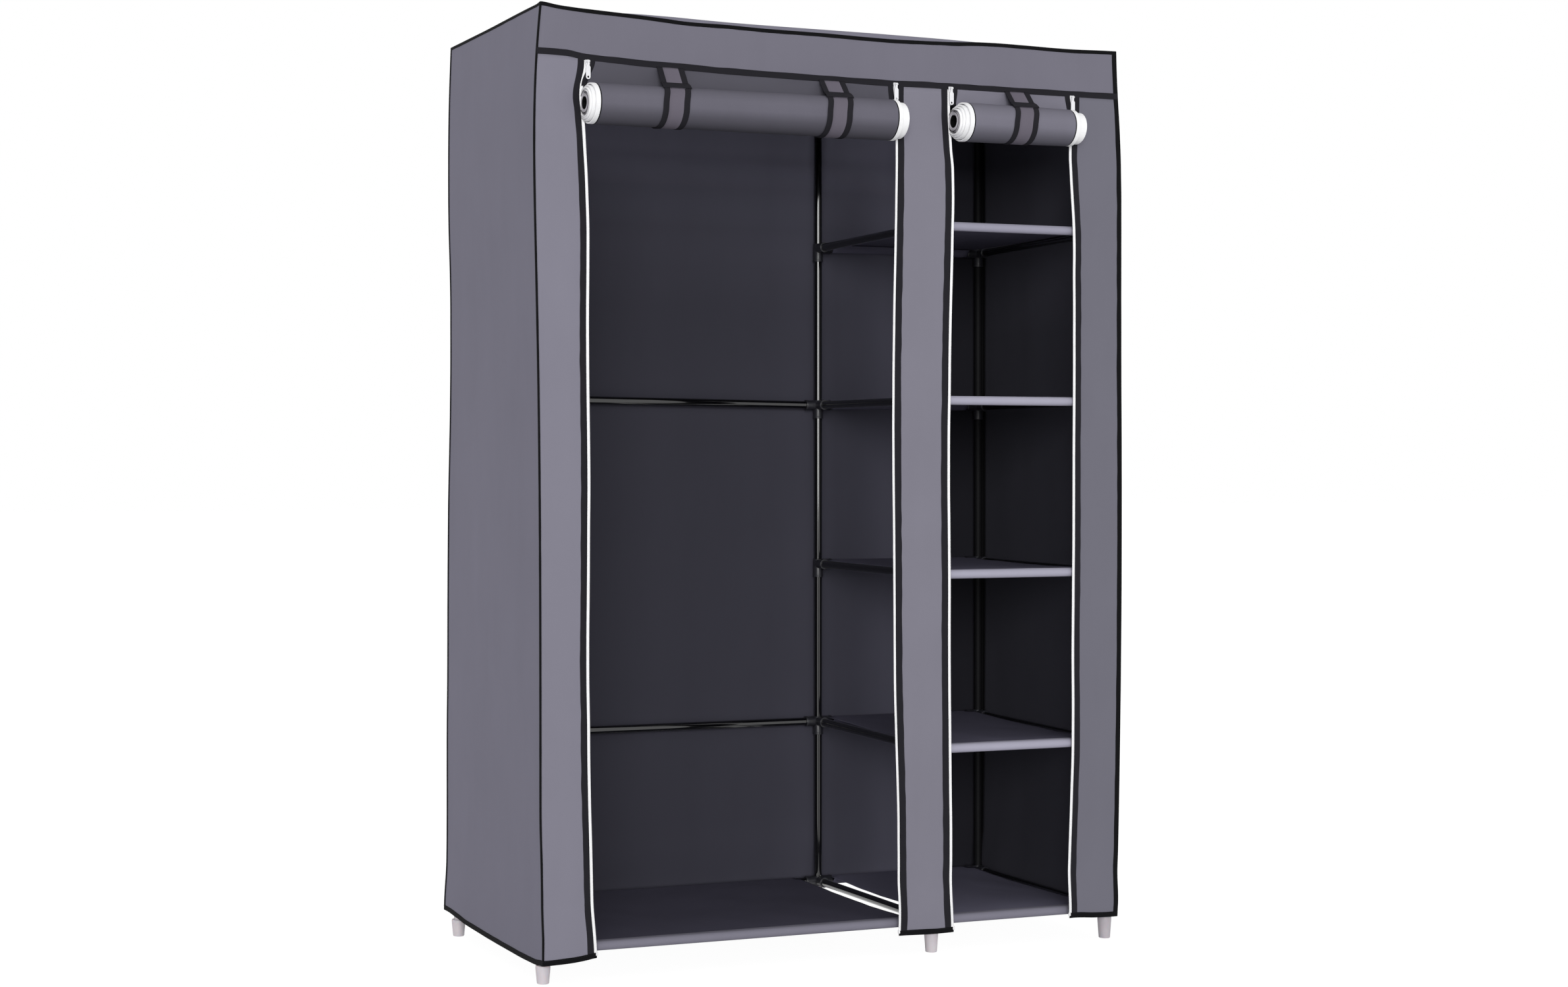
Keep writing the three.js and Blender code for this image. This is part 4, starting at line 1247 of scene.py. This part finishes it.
def shelf(name, start_x, end_x, tier, seed, gaps=(shelf_side_gap, shelf_side_gap)):
    low_x, high_x = start_x + tube_radius + gaps[0], end_x - tube_radius - gaps[1]
    front_arc = sleeve_arc(front_y, level_at(tier, front_y), 1)
    back_arc = list(reversed(sleeve_arc(back_y, level_at(tier, back_y), -1)))
    flat_ys = steps_between(front_y, back_y, net_step)[1:-1]
    outline = [*front_arc, *[(y, level_at(tier, y) + sleeve_radius) for y in flat_ys], *back_arc]
    last_notch = min(end_x - notch_reach, high_x - shelf_end_cover)
    ends = [low_x, start_x + notch_reach, last_notch, high_x]
    middle_columns = steps_between(ends[1], ends[2], net_step)
    columns = [ends[0], mix(*ends[:2], 0.5), *middle_columns, mix(*ends[2:], 0.5), ends[3]]
    shape = Shape()

    def place(x, y, height_there):
        span = (y - front_y) / (back_y - front_y)
        on_sheet = 0 < span < 1 and height_there >= level_at(tier, y) + sleeve_radius - 0.1 * MM
        sink = shelf_sag * math.sin(math.pi * span) if on_sheet else 0
        calm = ease((y - front_y) / shelf_calm) * ease((back_y - y) / shelf_calm) if on_sheet else 0
        wave = shelf_wave * calm * rumple(x, y, shelf_grain, seed)
        return Vector((x, y, height_there - sink - wave))

    rows = [[place(x, y, height_there) for x in columns] for y, height_there in outline]

    def finish_at(row, column):
        y = (outline[row][0] + outline[row + 1][0]) / 2
        is_sleeve = row < len(front_arc) or row >= len(outline) - len(back_arc) - 1
        at_end = not ends[1] - 1e-6 <= (columns[column] + columns[column + 1]) / 2 <= ends[2]
        if at_end and (is_sleeve or not front_y + notch_depth < y < back_y - notch_depth):
            return None
        # The front sleeve takes the paler cloth, a painted light; the sheet and the back sleeve take the
        # darker, a painted shade.
        return 0 if row < len(front_arc) else 1

    shape.net(rows, finish_at)
    piece = shape.make(f"{name}_cloth", shelf_cloths.get(name, [sleeve_cloth, shelf_cloth]), sharp=60)
    thicken(piece, shelf_thickness)
    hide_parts(name)
    loop = 2 * (math.pi * 1.6 * sleeve_radius + sleeve_seam)
    size = (high_x - low_x, back_y - front_y + loop)
    return piece


shelf_cloths = {
    "left_bottom_shelf": [bottom_sleeve_cloth, left_bottom_cloth],
    "right_shelf_1": [bottom_sleeve_cloth, right_bottom_cloth],
    "right_shelf_5": [top_sleeve_cloth, shelf_cloth],
}
shelf("left_bottom_shelf", left_x, middle_x, 0, 20.5, (shelf_side_gap, 41 * MM))
shelf("right_shelf_1", middle_x, right_x, 0, 10.5, (16 * MM, shelf_side_gap))
for tier in range(1, tier_count):
    shelf(f"right_shelf_{tier + 1}", middle_x, right_x, tier, 10.5 + tier)
print("shelves and bottoms:", tier_count + 1)

# %% [markdown]
# ## Rolled doors
# A rolled door is a long spiral of cloth that hangs under the header in its straps, half behind
# the edges of the flaps. Its sides carry the white half of the zip, and the outer turns have
# slipped in, so each end shows white rings stepping outwards to the core. The spiral is a net
# again: one direction runs along the cloth as it winds in, the other across the door. The
# columns near the ends carry the thick white tape and a thin black line. A few turns in, the
# tape grows thinner, and its greyer white there is painted shade of the inner turns; a black
# ring where the turns step in and the black round the core are painted shadow. How many turns
# a real one has can't be seen, so eleven is a guess.

# %% Rolled doors
roll_axis_y = -16 * MM
roll_turns = 11
roll_steps = 40
roll_cloth = 0.9 * MM
tape_cloth = 3.0 * MM
white_band = 8.5 * MM
hidden_band = 16 * MM
black_line = 2.3 * MM
roll_uneven = 0.5 * MM
roll_ripple = 0.7 * MM
roll_grain = (90 * MM, 0.05)
roll_calm = 50 * MM
ripple_turns = 1.2
open_turns = 0.75
band_blend = 0.2
core_radius = 1 * MM
edge_columns = [0, 0.6 * MM, 4 * MM]
inner_columns = 27
start_angle = math.radians(19)
clean_turns = 3.8
rim_turns = 4.8
core_turn = 9.8
inner_tape_share = 0.28
wound_in = smooth_through(*[(turn, drop * MM) for turn, drop in (
    (0, 0), (0.75, 0.7), (1, 2.8), (2, 6.4), (3, 10), (3.6, 12), (4.1, 16.4), (5, 19.4),
    (10.4, 25.4), (11, 27),
)])


class Roll:
    """A rolled door: its ends, its height, its radius at both ends and how its turns slipped."""

    def __init__(self, start, end, axis_z, radii, slips):
        self.start = start
        self.end = end
        self.axis_z = axis_z
        self.radii = radii
        self.slips = [
            smooth_through(*[(turn, inset * MM) for turn, inset in table]) for table in slips
        ]

    def radius(self, x, turn=0.0):
        share = (x - self.start) / (self.end - self.start)
        return mix(*self.radii, share) - wound_in(turn)

    def point(self, x, angle, radius):
        y = roll_axis_y + radius * math.cos(angle)
        return Vector((x, y, self.axis_z + radius * math.sin(angle)))


rolls = {
    "left_door": Roll(
        zips["left_door_left"].head - 16 * MM, zips["left_door_right"].head + 2.6 * MM, 1576 * MM,
        (37 * MM, 38.8 * MM),
        (
            ((0, 12), (0.85, 12), (1.2, 7.5), (1.85, 7.5), (2.2, 4.5), (3, 3.8), (11, 4)),
            ((0, 13.5), (0.8, 12.5), (1.25, 1.5), (2, 0.6), (11, 0.8)),
        ),
    ),
    "right_door": Roll(
        zips["right_door_left"].head - 2.9 * MM, zips["right_door_right"].head + 4.9 * MM, 1580 * MM,
        (37.5 * MM, 35.2 * MM),
        (
            (
                (0, 15.5), (0.85, 15.5), (1.2, 9.5), (1.85, 9.5), (2.2, 5), (2.85, 5), (3.2, 0.8),
                (11, 0.6),
            ),
            ((0, 16), (0.8, 15), (1.25, 3), (2, 0.8), (11, 1)),
        ),
    ),
}


def rolled_door(name, body):
    node = f"{name}_roll"
    roll = rolls[name]
    shape = Shape()
    rows = []
    weights = []
    for step in range(roll_turns * roll_steps + 1):
        turn = step / roll_steps
        angle = start_angle - 2 * math.pi * turn
        band = mix(white_band, hidden_band, ease((turn - open_turns) / band_blend))
        edge = [*edge_columns, band, band + black_line]
        uneven = roll_uneven * noise.noise(Vector((turn * 1.7, roll.start * 10, 3.3)))
        first = roll.start + roll.slips[0](turn) + uneven
        last = roll.end - roll.slips[1](turn) + uneven
        inner = [
            mix(first + edge[-1], last - edge[-1], index / (inner_columns - 1))
            for index in range(inner_columns)
        ]
        columns = [*[first + e for e in edge[:-1]], *inner, *[last - e for e in reversed(edge[:-1])]]
        row = []
        for x in columns:
            soft = 0
            if turn < ripple_turns:
                soft = rumple(x, turn * 0.2, roll_grain, 30.5 + roll.start)
            calm = near_edges(x - first, last - first, roll_calm)
            reach = roll.radius(x, turn) + roll_ripple * soft * calm
            row.append(roll.point(x, angle, max(reach, core_radius)))
        rows.append(row)
        at_end = tape_cloth if turn < clean_turns else inner_tape_share * tape_cloth
        near = [at_end] * (len(edge) - 1)
        weights.append([*near, *[roll_cloth] * len(inner), *near])
    count = len(edge) - 1

    def finish_at(row, column):
        from_end = min(column, len(rows[0]) - 2 - column)
        turn = row / roll_steps
        # Black here is painted shadow: round the core, and in a ring on the end face where the turns step
        # in.
        if turn > core_turn or from_end == 0 and clean_turns < turn < rim_turns:
            return 2
        if from_end >= count - 1:
            return 2 if from_end == count - 1 else 0
        # Past the clean turns the tape is the greyer white, a painted shade of the inner turns.
        return 3 if turn > clean_turns else 1

    lines = shape.net(rows, finish_at)
    materials = [roll_cloths[name], zip_white, edge_tape, shaded_white]
    piece = shape.make(f"{node}_cloth", materials, body, sharp=60)
    solid = thicken(piece, tape_cloth).modifiers["thickness"]
    group = piece.vertex_groups.new(name="thickness")
    for line, thicknesses in zip(lines, weights):
        for index, thickness in zip(line, thicknesses):
            group.add([index], thickness / tape_cloth, "REPLACE")
    solid.vertex_group = group.name
    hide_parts(node)
    lengths = [
        2 * math.pi / roll_steps * roll.radius(roll.start, step / roll_steps)
        for step in range(roll_turns * roll_steps)
    ]
    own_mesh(piece)
    print(name, "cloth on the roll:", round(sum(lengths) / MM), "mm")


rolled_door("left_door", "left_door_rolled")
rolled_door("right_door", "right_door_rolled")

# %% [markdown]
# ## The stretch between header and roll
# A short stretch of each door hangs free above its roll. When the door comes down this stretch
# grows, as cloth leaves the roll. It is made of many evenly spaced rows.

# %% Upper stretch of the doors
upper_rows = steps_between(0, 1, 0.02)
upper_columns = 50
door_edge = 10 * MM
door_inset = 5 * MM
fold_depth = 1.4 * MM
strap_pull = 2 * MM
strap_pull_reach = 45 * MM


def upper_stretch(name, left_zip, right_zip, straps):
    node = f"{name}_upper_cloth"
    roll = rolls[name]
    low, high = box(node)
    into_roll = math.sqrt(roll.radii[0] ** 2 - roll_axis_y ** 2) - 1 * MM
    foot_z = roll.axis_z + into_roll

    def edges(row):
        close = ease(row)
        start = mix(roll.start + door_inset, left_zip.head + door_inset, close)
        end = mix(roll.end - door_inset, right_zip.head - door_inset, close)
        return start, end

    def place(x, row, stand=0.0):
        z = mix(foot_z, header_bottom(x), row)
        calm = ease(row * 3) * ease((1 - row) * 3)
        pull = sum(math.exp(-(((x - strap) / strap_pull_reach) ** 2)) for strap in straps)
        fold = rumple(x, row * 0.02, (70 * MM, 0.03), 40.5)
        return Vector((x, 0.3 * MM + calm * (fold_depth * fold + strap_pull * pull) - stand, z))

    def strip(piece_name, first, last, side, materials, thickness, stand):
        """A strip along one edge, from so far inside the cloth to so far outside it."""
        shape = Shape()
        rows = []
        for row in upper_rows:
            base = edges(row)[0 if side < 0 else 1]
            xs = [base + side * mix(first, last, share) for share in (0, 0.25, 0.5, 0.75, 1)]
            rows.append([place(x, row, stand) for x in xs])
        shape.net(facing(rows, -back))
        made = shape.make(piece_name, materials, body=None)
        return thicken(made, thickness)

    shape = Shape()
    rows = []
    for row in upper_rows:
        start, end = edges(row)
        xs = steps_between(start, end, (end - start) / upper_columns)[:upper_columns + 1]
        rows.append([place(x, row) for x in xs])
    shape.net(facing(rows, -back))
    cloth_piece = shape.make(f"{node}_sewn", [upper_cloths[name], cover_inside], body=None)
    thicken(cloth_piece, inside=1)
    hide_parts(node)
    parts = [cloth_piece]
    for word, side in (("left", -1), ("right", 1)):
        tape = strip(f"{name}_tape_{word}", 0, 4.8 * MM, side, [zip_white], 1.6 * MM, 0.8 * MM)
        edge = strip(f"{name}_edge_{word}", -door_edge, 0.6 * MM, side, [binding_tape], 3 * MM, 1.2 * MM)
        parts += [tape, edge]
    header_bottom(width / 2) - foot_z
    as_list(parts[1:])
    head = corner + Vector((0, 0, header_bottom(width / 2)))
    for part in parts:
        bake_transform(part)


strap_shifts = {
    "left_door_strap_left": 15 * MM, "left_door_strap_right": 12 * MM, "right_door_strap": 10.5 * MM,
}
strap_places = {name: middle(f"{name}_band").x + shift for name, shift in strap_shifts.items()}
upper_stretch(
    "left_door", zips["left_door_left"], zips["left_door_right"],
    [strap_places["left_door_strap_left"], strap_places["left_door_strap_right"]],
)
upper_stretch(
    "right_door", zips["right_door_left"], zips["right_door_right"],
    [strap_places["right_door_strap"]],
)
print("straps at, in mm:", [round(x / MM) for x in strap_places.values()])

# %% [markdown]
# ## Straps
# A loop of cloth with black edges goes down behind each roll, under it and up in front. A short
# tab comes down from the header and is taken to stick to it with hook and loop. The tab ends in
# a thick black hem that lies on the front of the roll.

# %% Straps
band_half = 26 * MM
tab_half = 27 * MM
hem_half = 28.5 * MM
strap_edge = 11.6 * MM
strap_sway = curve_mm((1575, -10.5), (1622, 0))
strap_thickness = 1.0 * MM
band_stand = 1.3 * MM
band_behind = 2.4 * MM
band_above_edge = 10 * MM
band_end_angle = math.radians(-256)
band_step = math.radians(6)
tab_before = 0.9 * MM
tab_above_edge = 1 * MM
hem_thickness = 2.6 * MM
hem_off_roll = [(98, 5.4), (106, 4.2), (114, 3.2), (121, 2.7), (127, 2.4)]


def strap_rows(path, x, columns):
    """Rows along a path of (point, outward), of points (so far to the side, so many mm outward)."""
    return [
        [
            point + Vector((x + offset + strap_sway(point.z), 0, 0)) + outward * stand * MM
            for offset, stand in columns
        ]
        for point, outward in path
    ]


def ribbon(path, x, half):
    """Rows of a strap with thicker black edges, along a path of (point, outward)."""
    edge = half - strap_edge
    columns = [(-half, 0.5), (-half + 1 * MM, 0.9), (-edge - 1 * MM, 0.9), (-edge, 0), (-edge / 2, 0)]
    columns = [*columns, (0, 0), *[(-offset, stand) for offset, stand in reversed(columns)]]
    return strap_rows(path, x, columns)


def strap_finish(row, column):
    return 0 if 2 < column < 7 else 1


def around(roll, x, angle, stand):
    """A point that lies so far off the roll, and the way out of the roll there."""
    outward = Vector((0, math.cos(angle), math.sin(angle)))
    return roll.point(0, angle, roll.radius(x, 0.5) + stand), outward


def path_length(path):
    return sum((after[0] - before[0]).length for before, after in zip(path, path[1:]))


def strap_band(name, roll):
    x = strap_places[name]
    first, outward = around(roll, x, start_angle, band_stand)
    start = Vector((0, band_behind, header_bottom(x) + band_above_edge))
    path = [(start.lerp(first, share), outward) for share in steps_between(0, 1, 0.1)[:-1]]
    for angle in steps_between(start_angle, band_end_angle, band_step):
        path.append(around(roll, x, angle, band_stand))
    shape = Shape()
    shape.net(facing(ribbon(path, x, band_half), back), strap_finish)
    piece = shape.make(f"{name}_band_sewn", [strap_cloth, binding_tape], sharp=50)
    thicken(piece, strap_thickness)
    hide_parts(f"{name}_band")
    size = (2 * band_half, path_length(path))


def strap_tab(name, roll):
    x = strap_places[name]
    hem_path = [around(roll, x, math.radians(angle), stand * MM) for angle, stand in hem_off_roll]
    start = Vector((0, -tab_before, header_bottom(x) + tab_above_edge))
    along = (hem_path[0][0] - start).normalized()
    outward = Vector((0, along.z, -along.y))
    hanging = [(start.lerp(hem_path[0][0], share), outward) for share in steps_between(0, 1, 0.125)[:-1]]
    path = [*hanging, *hem_path]
    shape = Shape()
    shape.net(facing(ribbon(path, x, tab_half), -back), strap_finish)
    body = f"{name}_tab_body"
    piece = shape.make(f"{name}_tab_sewn", [strap_cloth, binding_tape], body, sharp=50)
    thicken(piece, strap_thickness)
    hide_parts(f"{name}_tab")
    hem_shape = Shape()
    offsets = [share * hem_half for share in (-1, -0.97, -0.5, 0, 0.5, 0.97, 1)]
    stands = [0.5, 1.5, 1.5, 1.5, 1.5, 1.5, 0.5]
    hem_shape.net(facing(strap_rows(hem_path, x, list(zip(offsets, stands))), -back))
    hem_piece = hem_shape.make(f"{name}_tab_hem", [binding_tape], body, sharp=50)
    thicken(hem_piece, hem_thickness)
    path_length(path)


for name in strap_places:
    roll = rolls["left_door" if name.startswith("left") else "right_door"]
    strap_band(name, roll)
    strap_tab(name, roll)
print("strap loops, each with a tab:", len(strap_places))

# %% [markdown]
# ## Sliders
# The sliders and their pulls are already the right shape in the model. A narrow bevel rounds
# their edges so that they catch a line of light, and they get the white enamel.

# %% Sliders and pulls
for name in zips:
    for kind in ("slider", "pull"):
        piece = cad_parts[f"zip_{kind}_{name}"]
        bevel = piece.modifiers.new("soft edges", "BEVEL")
        bevel.width = 0.3 * MM
        bevel.segments = 2
        bevel.limit_method = "ANGLE"
        piece.data.materials.clear()
        piece.data.materials.append(slider_white)
print("sliders, each with a pull:", len(zips))

# %% [markdown]
# ## Floor, light and camera
# The wardrobe stands on a pale floor under soft light from all round, with one large lamp from
# the front left. The camera sees the floor and the air as white paper, while the floor still
# keeps a faint shadow. The camera's place, turn, lens and shifts come from fitting the model's
# own corners and tubes to the photograph.

# %% Floor and light
def seen_as_white(graph):
    """1 where a ray looks at it straight, in a mirror or through something, 0 for soft light."""
    kinds = ("Is Camera Ray", "Is Glossy Ray", "Is Transmission Ray")
    seen, mirrored, through = [graph.node("ShaderNodeLightPath", output=kind) for kind in kinds]
    return (seen + mirrored + through) > 0.5


floor_reach = 40
floor_corners = [(x * floor_reach, y * floor_reach, 0) for x, y in ((-1, -1), (1, -1), (1, 1), (-1, 1))]
floor_mesh = bpy.data.meshes.new("floor")
floor_mesh.from_pydata(floor_corners, [], [(0, 1, 2, 3)])
floor = bpy.data.objects.new("floor", floor_mesh)
bpy.context.scene.collection.objects.link(floor)
floor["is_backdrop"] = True
paper = bpy.data.materials.new("white paper")
graph = Graph(paper)
as_paper = seen_as_white(graph)
diffuse = graph.node("ShaderNodeBsdfDiffuse", {}, {"Color": (0.88, 0.88, 0.89, 1)})
glow = graph.node("ShaderNodeEmission", {}, {"Color": (1, 1, 1, 1), "Strength": 1.1})
blend = graph.node("ShaderNodeMixShader", {}, {0: 0.88 * as_paper, 1: diffuse, 2: glow})
graph.feed(graph.tree.nodes["Material Output"].inputs["Surface"], blend)
floor_mesh.materials.append(paper)

world = bpy.data.worlds.new("soft studio")
bpy.context.scene.world = world
graph = Graph(world)
room_level = 0.56
white = seen_as_white(graph)
background = graph.tree.nodes["Background"]
graph.feed(background.inputs["Color"], (1, 1, 1, 1))
graph.feed(background.inputs["Strength"], room_level + (1 - room_level) * white)

lamp_data = bpy.data.lights.new("large lamp", "SUN")
lamp_data.energy = 1.9
lamp_data.angle = math.radians(30)
lamp = bpy.data.objects.new("large lamp", lamp_data)
bpy.context.scene.collection.objects.link(lamp)
to_lamp = Vector((-0.35, -0.91, 0.11))
lamp.rotation_euler = to_lamp.to_track_quat("Z", "Y").to_euler()
print("lamps:", len(bpy.data.lights))

# %% Camera
camera_data = bpy.data.cameras.new("camera")
camera = bpy.data.objects.new("camera", camera_data)
bpy.context.scene.collection.objects.link(camera)
camera_place = Vector((-1530.1 * MM, -4058.9 * MM, 936.2 * MM))
camera_turn = -20.954
camera.location = corner + camera_place
camera.rotation_euler = (math.radians(90), 0, math.radians(camera_turn))
camera_data.lens = 55.87
camera_data.shift_x = 0.1473
camera_data.shift_y = -0.0211
bpy.context.scene.camera = camera
bpy.context.scene.view_settings.view_transform = "Standard"
print("camera from the corner, in mm:", [round(size / MM) for size in camera_place])

# %% Check the size
visual_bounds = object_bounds()
ends = zip(model_bounds, visual_bounds)
print("grown by, in mm:", [round((b - a) / MM, 1) for pair in ends for a, b in zip(*pair)])
